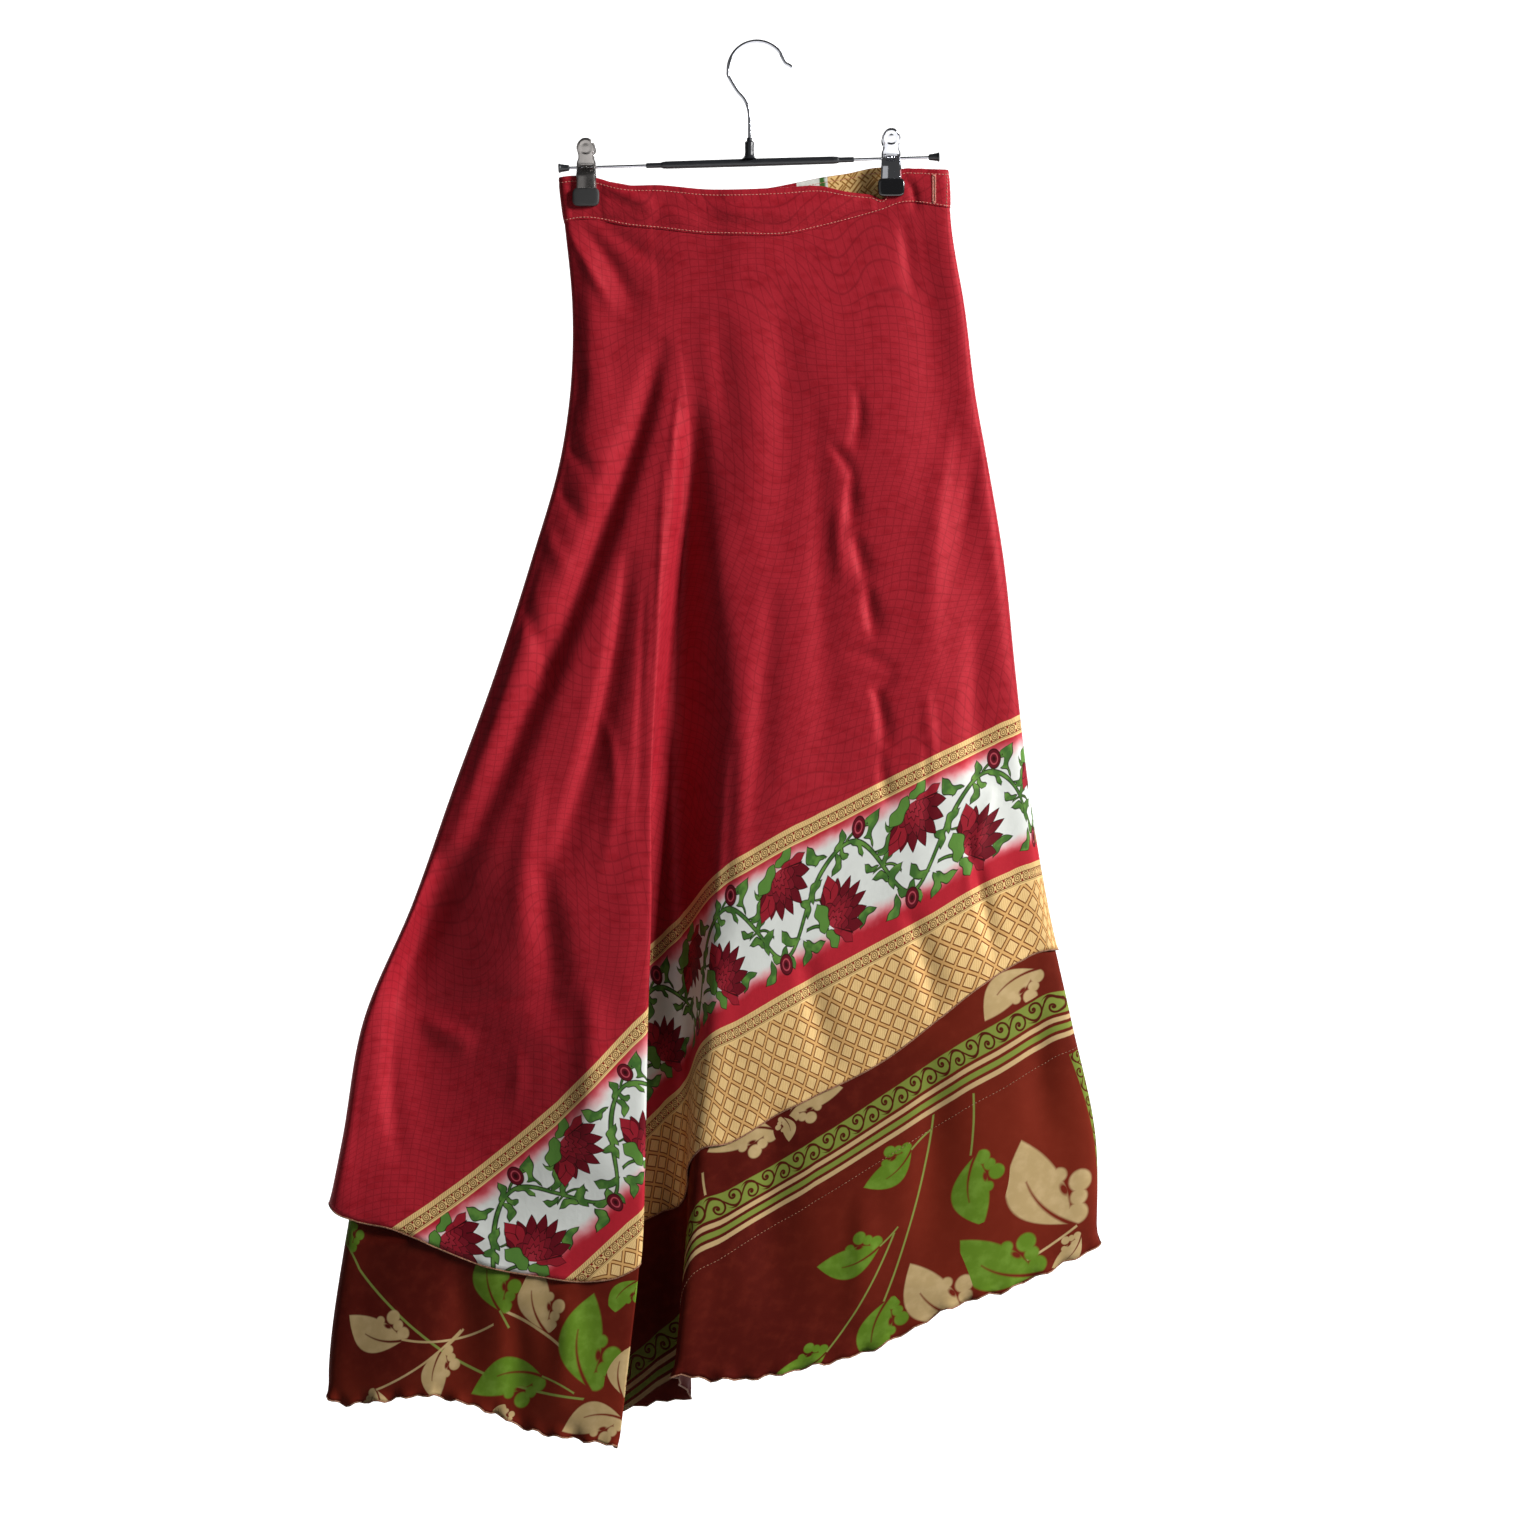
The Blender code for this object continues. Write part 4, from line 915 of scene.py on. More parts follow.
# %% Bare finishes, painted further down
outer_cloth = Finish("red satin sari cloth")
inner_cloth = Finish("brown printed sari cloth")
band_cloth = Finish("waistband cloth")
edge_thread = Finish("overlock thread")
stitch_thread = Finish("stitching thread")
chrome = Finish("chromed wire")
black_plastic = Finish("black moulded plastic")
# The left clip's steel gets a darker colour than the right one's: painted shade.
clip_steel = {"left": Finish("nickel plated steel"), "right": Finish("bright chromed steel")}
black_rubber = {"left": Finish("matte black rubber"), "right": Finish("glossy black rubber")}
print("finishes to paint:", len(bpy.data.materials))

# %% The outer layer
OUTER_FRILL = (0.7, 31.0)
OUTER_INWARD = 0.05
OUTER_ROWS, HIDDEN_OUTER_ROWS = 185, 90
UNDER_BAND = 6.0
hems = {}
for stretch in STRETCHES:
    hidden = stretch != "back"
    columns = stretch_columns(stretch, FINEST * (HIDDEN_COARSER if hidden else 1.0))
    hem = line_down(columns, "outer")
    downs = row_blend(band_edges(columns)[1] - UNDER_BAND, hem, HIDDEN_OUTER_ROWS if hidden else OUTER_ROWS)
    places = np.broadcast_to(columns, downs.shape)
    points = cloth_points(places, downs, OUTER_INWARD + frill(places, downs, hem[None, :], *OUTER_FRILL))
    maps = {"cloth": (length_along(places, downs), downs),
            "border": slanted_map(places, downs, "trim", "lattice")}
    name = f"outer_{stretch}"
    add_sheet(name, points, maps, outer_cloth, CLOTH_WALL, [name])
    hems[name] = points[-1]

# %% The inner layer
INNER_FRILL = (2.6, 25.0)
HEM_RIPPLE, HEM_RIPPLE_PITCH = 1.3, 19.0
COVERED_ROWS, LOWER_ROWS, HIDDEN_LOWER_ROWS = 60, 60, 34
ABOVE_OUTER_HEM = 30.0
INNER_NODES = {
    "back": ["inner_back", "inner_lower_back"],
    "over": ["inner_over", "inner_lower_over"],
    "under": ["inner_under"],
}
for stretch, replaced in INNER_NODES.items():
    hidden = stretch != "back"
    columns = stretch_columns(stretch, FINEST * (HIDDEN_COARSER if hidden else INNER_COARSER))
    covered_to, hem = line_down(columns, "outer") - ABOVE_OUTER_HEM, line_down(columns, "inner")
    hem = hem + HEM_RIPPLE * frill(columns, hem, hem, 1.0, HEM_RIPPLE_PITCH)
    covered = row_blend(band_edges(columns)[1] - UNDER_BAND, covered_to, COVERED_ROWS)
    lower = row_blend(covered_to, hem, HIDDEN_LOWER_ROWS if hidden else LOWER_ROWS)[1:]
    downs = np.vstack([covered, lower])
    places = np.broadcast_to(columns, downs.shape)
    inward = LAYER_PITCH + frill(places, downs, hem[None, :], *INNER_FRILL)
    points = cloth_points(places, downs, inward, True)
    length = length_along(places, downs)
    to_fold = length_along(np.full(downs.shape, float(GUIDE["right_edge"])), downs) - length
    maps = {"cloth": (length, downs), "border": slanted_map(places, downs, "seam"),
            "side": (to_fold, downs - hem[None, :])}
    name = f"inner_{stretch}"
    add_sheet(name, points, maps, inner_cloth, CLOTH_WALL, replaced)
    hems[name] = points[-1]

# %% [markdown]
# ## Round things: wires, threads and hem edges
# The hook, the springs, each stitch and the rolled edge of each hem are round. They all come from one
# function that sweeps a ring along a path, turning it no more than the path itself turns, so it doesn't
# twist.

# %% Tubes
SMOOTH_ALL_ROUND = 80.0


def circle(side, up, sides):
    """Directions all round, which turn from one direction to another."""
    angles = np.linspace(0, 2 * math.pi, sides, endpoint=False)[:, None]
    return np.cos(angles) * side + np.sin(angles) * up


def ring_faces(rings, sides):
    """Faces from each ring of points to the next, and one over each end."""
    around = np.arange(sides)
    faces = [[ring * sides + a, ring * sides + b, (ring + 1) * sides + b, (ring + 1) * sides + a]
             for ring in range(rings - 1) for a, b in zip(around, (around + 1) % sides)]
    return faces + [list(around[::-1]), list(around + (rings - 1) * sides)]


def tube_parts(path, radius, sides=10):
    """Points and faces of a round tube along a path; the radius may be one for each point."""
    path = np.asarray(path, dtype=float)
    radius = np.broadcast_to(radius, len(path))
    tangent = np.gradient(path, axis=0)
    tangent /= np.linalg.norm(tangent, axis=1)[:, None]
    side = np.cross(tangent[0], [0.0, 1.0, 0.0])
    if np.linalg.norm(side) < 0.1:
        side = np.cross(tangent[0], [1.0, 0.0, 0.0])
    points = []
    for place, ahead, size in zip(path, tangent, radius):
        side = side - ahead * side.dot(ahead)
        side /= np.linalg.norm(side)
        points.append(place + size * circle(side, np.cross(ahead, side), sides))
    return np.concatenate(points), ring_faces(len(path), sides)


def solid_mesh(name, parts, sharp=40.0):
    """One mesh from several sets of points and faces, in millimetres."""
    points, faces, first = [], [], 0
    for part_points, part_faces in parts:
        points.append(np.asarray(part_points))
        faces += [[first + index for index in face] for face in part_faces]
        first += len(part_points)
    mesh = bpy.data.meshes.new(name)
    mesh.from_pydata((np.concatenate(points) * MM).tolist(), [], faces)
    mesh.shade_smooth()
    mesh.set_sharp_from_angle(angle=math.radians(sharp))
    return mesh


def smooth_path(points, steps):
    """A smooth path through a few points, with evenly numbered steps between them."""
    points = np.asarray(points, dtype=float)
    wanted = np.linspace(0, len(points) - 1, (len(points) - 1) * steps + 1)
    places = np.arange(len(points))
    return np.stack([smooth_read(places, points[:, axis], wanted) for axis in range(3)], axis=-1)


print("a 10-sided tube of 3 points has", len(tube_parts([(0, 0, 0), (0, 0, 1), (0, 0, 2)], 1.0)[1]), "faces")

# %% [markdown]
# ## Overlocked hems
# The hems aren't turned up: a fine overlock stitch is sewn over the raw edge. It is a thin round edge,
# wound with thread, so a tube is swept along each hem.

# %% Hem edges
HEM_EDGE_RADIUS = 0.75
trimmings = {}


def trim(sheet_name, name, parts, finish, sharp=40.0):
    """Adds a small piece that is sewn to a sheet."""
    slot = sheet_name.split("_")[0].replace("tie", "band") + "_cloth"
    trimmings.setdefault(sheet_name, []).append(show(name, solid_mesh(name, parts, sharp), finish, []))


for name, line in hems.items():
    trim(name, name + "_hem_edge", [tube_parts(line, HEM_EDGE_RADIUS, 6)], edge_thread)
print("hem edges:", len(hems))

# %% [markdown]
# ## The waistband
# The band is one strip of cloth folded over the top of both layers and sewn down twice. It is modelled as
# that: a sheet that rises on the outside, turns over a round fold and comes down inside. Between its two
# rows of stitches it puffs up a little.

# %% Waistband
BAND_OUTSIDE, BAND_INSIDE = -0.45, 2.25
BAND_BEND = (BAND_INSIDE - BAND_OUTSIDE) / 2
BAND_TURNS = np.radians([30, 60, 90, 120, 150])
BAND_PUFF, PUFF_POWER, INSIDE_PUFF = 0.75, 0.5, 0.4
STITCH_DIP, HELD_BY_CLIP = 0.035, (11.0, 18.0)
BAND_LAP = 1.4
BAND_COLUMN_STEP = 3.2
CLIP_MIDDLES = {"left": -148.5, "right": 116.5}
OUTSIDE_SHARES = np.array([0.0, 0.03, 0.07, 0.12, 0.2, 0.32, 0.45, 0.58, 0.7, 0.8, 0.87, 0.92, 0.96, 1.0])
STITCHED_SHARES = (0.05, 0.91)


def band_puff(share, along):
    """How much the band stands proud at a share of its height: not under a clip or on a row of stitches."""
    puff = np.sin(math.pi * np.clip(share, 0, 1)) ** PUFF_POWER
    for stitched in STITCHED_SHARES:
        puff = puff * (1 - np.exp(-((share - stitched) / STITCH_DIP) ** 2))
    across = across_at(along, BAND_LEVEL)
    for middle in CLIP_MIDDLES.values():
        puff = puff * smooth_step(*HELD_BY_CLIP, np.abs(across - middle))
    return BAND_PUFF * puff


def band_level(along, share):
    """How far down a share of the band's height lies, from its lower edge up to where it turns over."""
    top, seam = band_edges(along)
    return mix(seam + BAND_LAP, top + BAND_BEND, share)


def band_rows(along):
    """Rows of the folded band: level, place inward, and length from the top fold, negative on the inside."""
    top = band_edges(along)[0]
    rows = []
    for share in OUTSIDE_SHARES:
        level = band_level(along, share)
        rows.append((level, BAND_OUTSIDE - band_puff(share, along), level - top))
    for turn in BAND_TURNS:
        inward = BAND_OUTSIDE + BAND_BEND - BAND_BEND * math.cos(turn)
        rows.append((top + BAND_BEND - BAND_BEND * math.sin(turn), np.full(len(along), inward),
                     np.full(len(along), BAND_BEND * math.cos(turn))))
    for share in OUTSIDE_SHARES[::-1]:
        level = band_level(along, share)
        rows.append((level, BAND_INSIDE + INSIDE_PUFF * band_puff(share, along), top - level))
    return np.array(rows).transpose(1, 0, 2)


for stretch in STRETCHES:
    columns = stretch_columns(stretch, BAND_COLUMN_STEP)
    levels, inwards, from_top = band_rows(columns)
    places = np.broadcast_to(columns, levels.shape)
    maps = {"band": (length_along(places, np.full(levels.shape, BAND_LEVEL)), from_top)}
    add_sheet(f"band_{stretch}", cloth_points(places, levels, inwards), maps, band_cloth, BAND_WALL)

# %% [markdown]
# ## Stitches
# Every stitch is a short piece of thread that dips into the cloth at both ends. One small shape is copied
# along each row, a stitch at a time, at the spacing of a sewing machine.

# %% Rows of stitches
STITCH_PITCH, STITCH_LENGTH, STITCH_RADIUS = 3.1, 2.3, 0.3
STITCH_SHAPE = ((-0.5, 0.35), (-0.36, 0.9), (0.0, 1.05), (0.36, 0.9), (0.5, 0.35))
STITCH_SUNK, STITCH_LIFT, STITCH_OFF_BAND = 0.6, 0.5, 0.3


def stitch_parts(start, end, outward, radius=STITCH_RADIUS):
    """A stitch from one place to another, arched a little away from the cloth."""
    path = [mix(start, end, share + 0.5) + outward * radius * (thick - STITCH_SUNK)
            for share, thick in STITCH_SHAPE]
    return tube_parts(path, [radius * thick for _, thick in STITCH_SHAPE], 5)


def stitch_row(along, downs, inwards, inner=False, pitch=STITCH_PITCH, length=STITCH_LENGTH):
    """Stitches along a line of the cloth."""
    line = cloth_points(along, downs, inwards, inner)
    lifted = cloth_points(along, downs, np.asarray(inwards) - STITCH_LIFT, inner) - line
    run = running_length(line)
    starts = np.arange(1.0, run[-1] - pitch, pitch)

    def at(values, places):
        return np.stack([np.interp(places, run, values[:, axis]) for axis in range(3)], axis=-1)

    outward = at(lifted, starts + length / 2)
    outward /= np.linalg.norm(outward, axis=1)[:, None]
    return [stitch_parts(*row) for row in zip(at(line, starts), at(line, starts + length), outward)]


for stretch in STRETCHES:
    columns = stretch_columns(stretch, BAND_COLUMN_STEP)
    stitches = []
    for share in STITCHED_SHARES:
        level = band_level(columns, share)
        stitches += stitch_row(columns, level, BAND_OUTSIDE - STITCH_OFF_BAND)
        stitches += stitch_row(columns, level, BAND_INSIDE + STITCH_OFF_BAND)
    name = f"band_{stretch}"
    trim(name, name + "_stitches", stitches, stitch_thread, SMOOTH_ALL_ROUND)
    print(name, "stitches:", len(stitches))

# %% Stitches of the inner layer's seam
SEAM_STITCH_PITCH, SEAM_STITCH_LENGTH, ABOVE_SEAM = 3.4, 2.2, 2.5
SEAM_STRETCHES = {"back": ("floor", "right_edge", 5.0), "over": ("right_edge", LAST_OVER, 7.0)}
for stretch, ends_and_step in SEAM_STRETCHES.items():
    columns = fine_columns(*ends_and_step)
    line = line_down(columns, "seam") - ABOVE_SEAM
    stitches = stitch_row(columns, line, LAYER_PITCH - CLOTH_WALL / 2, True,
                          SEAM_STITCH_PITCH, SEAM_STITCH_LENGTH)
    name = f"inner_{stretch}"
    trim(name, name + "_seam_stitches", stitches, edge_thread, SMOOTH_ALL_ROUND)
    print(name, "seam stitches:", len(stitches))

# %% [markdown]
# ## The buttonhole
# The overlap's tie passes through a buttonhole near the right end of the band. It is a slit with two dense
# rows of thread and a bar of thread across each end.

# %% Buttonhole and the stitching at the band's end
HOLE_ACROSS, HOLE_TOP, HOLE_FOOT = 154.0, 116.0, 138.0
SLIT_HALF_WIDTH, HOLE_HALF_WIDTH, HOLE_THREAD_PITCH = 0.25, 1.8, 0.55
HOLE_THREAD_RADIUS, SLIT_RADIUS = 0.26, 0.24
BAR_BEYOND_HOLE, BAR_THREADS = 0.6, (-0.5, 0.0, 0.5)
END_ROW_ACROSS, END_ROW_DOWN = (164.6, 164.8), (113.0, 142.0)
ON_BAND = 0.2


def strip_place(across, down, stretch):
    """Finds where along a stretch the strip crosses a given place across."""
    places = np.linspace(*(GUIDE[name] for name in STRETCHES[stretch]), 401)
    found = across_at(places, down)
    order = np.argsort(found)
    return np.interp(across, found[order], places[order])


def on_band(across, down, lift=0.0):
    """A place on the outside of the band."""
    along = np.array([strip_place(across, down, "back")])
    top, seam = band_edges(along)
    share = (seam + BAND_LAP - down) / (seam + BAND_LAP - top)
    inward = BAND_OUTSIDE - band_puff(share, along) - ON_BAND - lift
    return cloth_points(along, np.array([down]), inward)[0]


FRONT = np.array([0.0, -1.0, 0.0])
threads = []
for down in np.arange(HOLE_TOP, HOLE_FOOT, HOLE_THREAD_PITCH):
    for side in (-1, 1):
        reaches = (SLIT_HALF_WIDTH, HOLE_HALF_WIDTH)
        ends = [on_band(HOLE_ACROSS + side * reach, down, 0.1) for reach in reaches]
        threads.append(stitch_parts(*ends, FRONT, HOLE_THREAD_RADIUS))
for level in (HOLE_TOP - BAR_BEYOND_HOLE, HOLE_FOOT + BAR_BEYOND_HOLE):
    for step in BAR_THREADS:
        ends = [on_band(HOLE_ACROSS + side * HOLE_HALF_WIDTH, level + step, 0.25) for side in (-1, 1)]
        threads.append(stitch_parts(*ends, FRONT))
for down in np.arange(*END_ROW_DOWN, STITCH_PITCH):
    ends = [on_band(END_ROW_ACROSS[0], down, 0.1), on_band(END_ROW_ACROSS[1], down + STITCH_LENGTH, 0.1)]
    threads.append(stitch_parts(*ends, FRONT))
trim("band_back", "buttonhole_stitches", threads, stitch_thread, SMOOTH_ALL_ROUND)
slit = [on_band(HOLE_ACROSS, down, 0.12) for down in np.linspace(HOLE_TOP, HOLE_FOOT, 9)]
trim("band_back", "buttonhole_slit", [tube_parts(slit, SLIT_RADIUS, 6)], edge_thread)
print("buttonhole threads:", len(threads))

# %% [markdown]
# ## The two ties
# A long tie is sewn to each end of the band. They don't show in the photo, so they hang plainly: the
# overlap's tie outside, the underlap's inside. Each is a folded strip with a row of stitches along both
# edges.

# %% Ties
TIES = {
    # name: (middle across, stretch, side of the cloth that it hangs on, the band's edge there)
    "tie_over": (-84.0, "over", -1, OVER_BAND_ROWS), "tie_under": (45.0, "under", 1, UNDER_BAND_ROWS),
}
TIE_WIDTH, TIE_LENGTH, TIE_END_DOWN, TIE_BELOW_BAND_EDGE = 26.0, 560.0, 690.0, 2.0
TIE_OFF_BAND, TIE_HANGS_FREE, TIE_LEAVES_BAND = 2.3, 2.2, (165.0, 230.0)
TIE_TWIST, TIE_TWIST_PITCH, TIE_TWIST_DOWN = 0.5, 37.0, (230.0, 300.0)
TIE_ROWS, TIE_STITCH_LIFT, TIE_STITCH_PITCH = 120, 0.5, 3.6
shares = np.linspace(-1, 1, 9)
for name, (middle, stretch, side, edge_rows) in TIES.items():
    top = float(read_rows(edge_rows, 1, middle)) + TIE_BELOW_BAND_EDGE
    points, edges = [], []
    for down in np.linspace(top, TIE_END_DOWN, TIE_ROWS):
        off = TIE_OFF_BAND + TIE_HANGS_FREE * smooth_step(*TIE_LEAVES_BAND, down)
        inward = LAYER_PITCH / 2 + side * off
        twist = TIE_TWIST * side * math.sin(down / TIE_TWIST_PITCH) * smooth_step(*TIE_TWIST_DOWN, down)
        places = strip_place(middle + TIE_WIDTH / 2 * shares, down, stretch)
        points.append(cloth_points(places, np.full(len(shares), down), inward + twist * shares))
        edges.append([(place, down, inward + side * TIE_STITCH_LIFT) for place in (places[1], places[-2])])
    flat = (TIE_WIDTH / 2 * shares[None, :], np.linspace(0, TIE_LENGTH, TIE_ROWS)[:, None])
    add_sheet(name, np.array(points), {"band": flat}, band_cloth, TIE_WALL)
    stitches = []
    for line in np.array(edges, dtype=float).transpose(1, 2, 0):
        stitches += stitch_row(*line, pitch=TIE_STITCH_PITCH)
    trim(name, name + "_stitches", stitches, stitch_thread, SMOOTH_ALL_ROUND)
    print(name, "stitches:", len(stitches))

# %% [markdown]
# ## The hanger
# The hanger is a chromed wire hook in a turned socket, a black sleeve with a collar at each end, and a thin
# bar that carries the clips and ends in two black caps. Turned parts are a profile spun about an axis.
# Their edges are rounded in the profile itself, because a moulded part has no sharp edge.

# %% Turned parts
BAR_DOWN_AT_ORIGIN, BAR_SLOPE = 104.1, 0.0296
BAR_RIGHT = np.array([1.0, 0.0, BAR_SLOPE]) / math.hypot(1.0, BAR_SLOPE)
BAR_UP = np.array([-BAR_SLOPE, 0.0, 1.0]) / math.hypot(1.0, BAR_SLOPE)


def bar_place(across):
    """The bar's middle at a place across; the bar hangs a little lower on the left."""
    return np.array([across, 0.0, -(BAR_DOWN_AT_ORIGIN - BAR_SLOPE * across)])


def turned_parts(start, direction, profile, sides=32):
    """A profile of distances and radii spun about a direction; it is closed where its radius is 0."""
    across = np.cross(direction, FRONT)
    ring = circle(across, np.cross(direction, across), sides)
    points = np.concatenate([start + direction * distance + radius * ring for distance, radius in profile])
    return points, ring_faces(len(profile), sides)


def rounded(profile, radius=0.35):
    """The profile with each inner corner cut back twice, which reads as a rounded edge."""
    points = [np.array(profile[0], dtype=float)]
    for before, corner, after in zip(profile, profile[1:], profile[2:]):
        before, corner, after = (np.array(item, dtype=float) for item in (before, corner, after))
        for other in (before, after):
            reach = min(radius, np.linalg.norm(other - corner) * 0.45)
            points.append(corner + (other - corner) / np.linalg.norm(other - corner) * reach)
        points.insert(-1, (points[-2] + points[-1]) / 2 * 0.6 + corner * 0.4)
    return points + [np.array(profile[-1], dtype=float)]


def add_part(name, suffix, parts, finish, sharp=40.0):
    """Adds a part of the hanger, which stands for the solid of the same name."""
    show(name + suffix, solid_mesh(name, parts, sharp), finish, [name])


print("the bar's middle:", [round(float(value), 1) for value in bar_place(0.0)])

# %% Hook and socket
HOOK_WIRE_RADIUS, HOOK_RADIUS, STEM_ACROSS, STEM_END_DOWN = 1.5, 25.2, -6.5, 82.3
HOOK_TIP_TAPER = np.array([0.45, 0.8, 0.95, 1.0])
STEM_IN_SOCKET, SOCKET_ABOVE, SOCKET_IN_SLEEVE = 0.5, 0.3, 0.4
SLEEVE_RADIUS, SLEEVE_SPAN, COLLAR_RADIUS, COLLAR_LENGTH = 3.3, (-82.0, 70.0), 2.3, 14.5
centre_down = HOOK_RADIUS - HOOK_WIRE_RADIUS
tip = [(31.2, 0.0, -22.0), (28.2, 0.0, -19.6), (24.6, 0.0, -17.5), (21.9, 0.0, -12.6)]
bow = [(HOOK_RADIUS * math.cos(turn), 0.0, HOOK_RADIUS * math.sin(turn) - centre_down)
       for turn in map(math.radians, range(38, 205, 12))]
stem = [(-17.6, 0.0, -41.5), (-12.0, 0.0, -48.0), (-8.6, 0.0, -54.0), (-6.9, 0.0, -60.5),
        (STEM_ACROSS, 0.0, -68.0), (STEM_ACROSS, 0.0, -STEM_END_DOWN - STEM_IN_SOCKET)]
hook = smooth_path(tip + bow + stem, 6)
radii = np.full(len(hook), HOOK_WIRE_RADIUS)
radii[:len(HOOK_TIP_TAPER)] = HOOK_WIRE_RADIUS * HOOK_TIP_TAPER
show("hook_wire", solid_mesh("hook_wire", [tube_parts(hook, radii, 20)]), chrome, ["hook"])

seat = np.array([STEM_ACROSS, 0.0, -STEM_END_DOWN - SOCKET_ABOVE])
foot = seat[2] - (bar_place(STEM_ACROSS)[2] + SLEEVE_RADIUS - SOCKET_IN_SLEEVE)
profile = rounded([(0.0, 0.0), (0.0, 2.3), (3.1, 2.6), (3.4, 3.6), (4.2, 4.2), (12.4, 4.0),
                   (foot - 3.0, 4.4), (foot - 1.2, 5.6), (foot, 7.2), (foot, 0.0)], 0.5)
socket = solid_mesh("socket", [turned_parts(seat, np.array([0.0, 0.0, -1.0]), profile)])
show("socket", socket, black_plastic, ["hook_socket"])
print("hook's rings:", len(hook))

# %% Sleeve, bars and caps
BAR_RADIUS, BAR_SPAN, BAR_IN_COLLAR, BAR_IN_CAP = 1.3, (-163.0, 149.0), 1.0, 1.0
CAP_LENGTH, CAP_OFF_BAR_END = 9.5, 0.3
sleeve = SLEEVE_SPAN[1] - SLEEVE_SPAN[0]
length = sleeve + 2 * COLLAR_LENGTH
half = [(0.0, 0.0), (0.0, 2.0), (0.8, COLLAR_RADIUS), (COLLAR_LENGTH - 1.5, COLLAR_RADIUS),
        (COLLAR_LENGTH, 3.0), (COLLAR_LENGTH + 4.0, SLEEVE_RADIUS)]
profile = half + [(length / 2, 3.5)] + [(length - distance, radius) for distance, radius in half[::-1]]
start = bar_place(SLEEVE_SPAN[0] - COLLAR_LENGTH)
sleeve = solid_mesh("sleeve", [turned_parts(start, BAR_RIGHT, rounded(profile, 0.6))], 60.0)
show("sleeve", sleeve, black_plastic, ["centre_sleeve"])
for side, facing, sleeve_end, bar_end in zip(("left", "right"), (-1, 1), SLEEVE_SPAN, BAR_SPAN):
    start = bar_place(sleeve_end + facing * (COLLAR_LENGTH - BAR_IN_COLLAR))
    length = np.linalg.norm(bar_place(bar_end + facing * BAR_IN_CAP) - start)
    profile = rounded([(0.0, 0.0), (0.0, BAR_RADIUS), (length, BAR_RADIUS), (length, 0.0)], 0.2)
    wire = [turned_parts(start, facing * BAR_RIGHT, profile, 20)]
    add_part(f"bar_{side}", "_wire", wire, chrome)
    profile = rounded([(0.0, 0.0), (0.0, 2.3), (0.8, 2.7), (3.0, 2.9), (7.6, 3.6), (8.0, 4.1),
                       (CAP_LENGTH, 4.1), (CAP_LENGTH, 0.0)], 0.5)
    cap = [turned_parts(bar_place(bar_end + facing * CAP_OFF_BAR_END), facing * BAR_RIGHT, profile)]
    add_part(f"end_cap_{side}", "_moulding", cap, black_plastic)
print("the bar spans", BAR_SPAN, "mm")

# %% [markdown]
# ## The clips
# A clip is two pressed plates that cross at the bar, a coil spring between them, and a dipped rubber jaw on
# each. A plate is a curved sheet: a round thumb tab with a shallow dish, a narrow neck, a shoulder with a
# slot where the spring shows, and a body that runs down to the jaw. Its sides are bent back, which makes
# the thin steel stiff.

# %% Clip plates
CLIP_DROPS = {"left": 0.0, "right": -0.6}
TAB_UP, TAB_RADIUS = 15.6, 7.8
PLATE_ROWS = (
    # up from the bar, half width, stand-off
    (-19.4, 8.9, 5.9), (-14.0, 8.5, 5.6), (-9.0, 8.3, 5.4), (-3.5, 8.0, 3.8), (0.0, 8.0, 3.5),
    (2.6, 8.0, 3.8), (4.4, 7.8, 4.4), (6.6, 6.7, 6.0), (8.6, 6.4, 7.2), (10.6, 6.6, 8.2), (12.8, 7.3, 9.2),
    (15.6, 7.8, 10.4), (18.4, 7.3, 11.2), (20.4, 6.1, 11.7), (22.0, 4.5, 12.1), (23.0, 2.4, 12.4),
    (23.35, 0.6, 12.5),
)
PLATE_SHARES = (-1.0, -0.97, -0.92, -0.84, -0.7, -0.52, -0.35, -0.18, 0.0,
                0.18, 0.35, 0.52, 0.7, 0.84, 0.92, 0.97, 1.0)
PLATE_THICKNESS, PLATE_CROWN, CROWN_WIDTH, SIDES_BENT = 0.9, 1.3, 8.8, 1.5
DISH_DEPTH, DISH_EDGE, DISH_RIM, DISH_RIM_AT, DISH_RIM_WIDTH = 0.7, (3.6, 5.8), 0.35, 6.2, 0.7
SLOT_HALF_HEIGHT, SLOT_HALF_WIDTH = 1.6, 5.2
EAR_RADIUS, EAR_HALF_WALL = 3.2, 0.4
JAW_TOP, JAW_BOTTOM, JAW_THICKNESS, JAW_OFF_BAND = 19.2, 34.8, 3.4, 0.3
JAW_LEVEL, JAW_REACH, BAND_SKIN = 130.0, 11.8, 0.55


def band_faces(middle):
    """The foremost and rearmost faces of the stacked band that a clip holds."""
    found = []
    for stretch in ("back", "over" if middle > 0 else "under"):
        along = strip_place(middle + JAW_REACH * np.linspace(-1, 1, 5), JAW_LEVEL, stretch)
        found.append(cloth_points(along, np.full(5, JAW_LEVEL), -BAND_SKIN)[:, 1])
    return {"front": found[0].min(), "rear": found[1].max()}


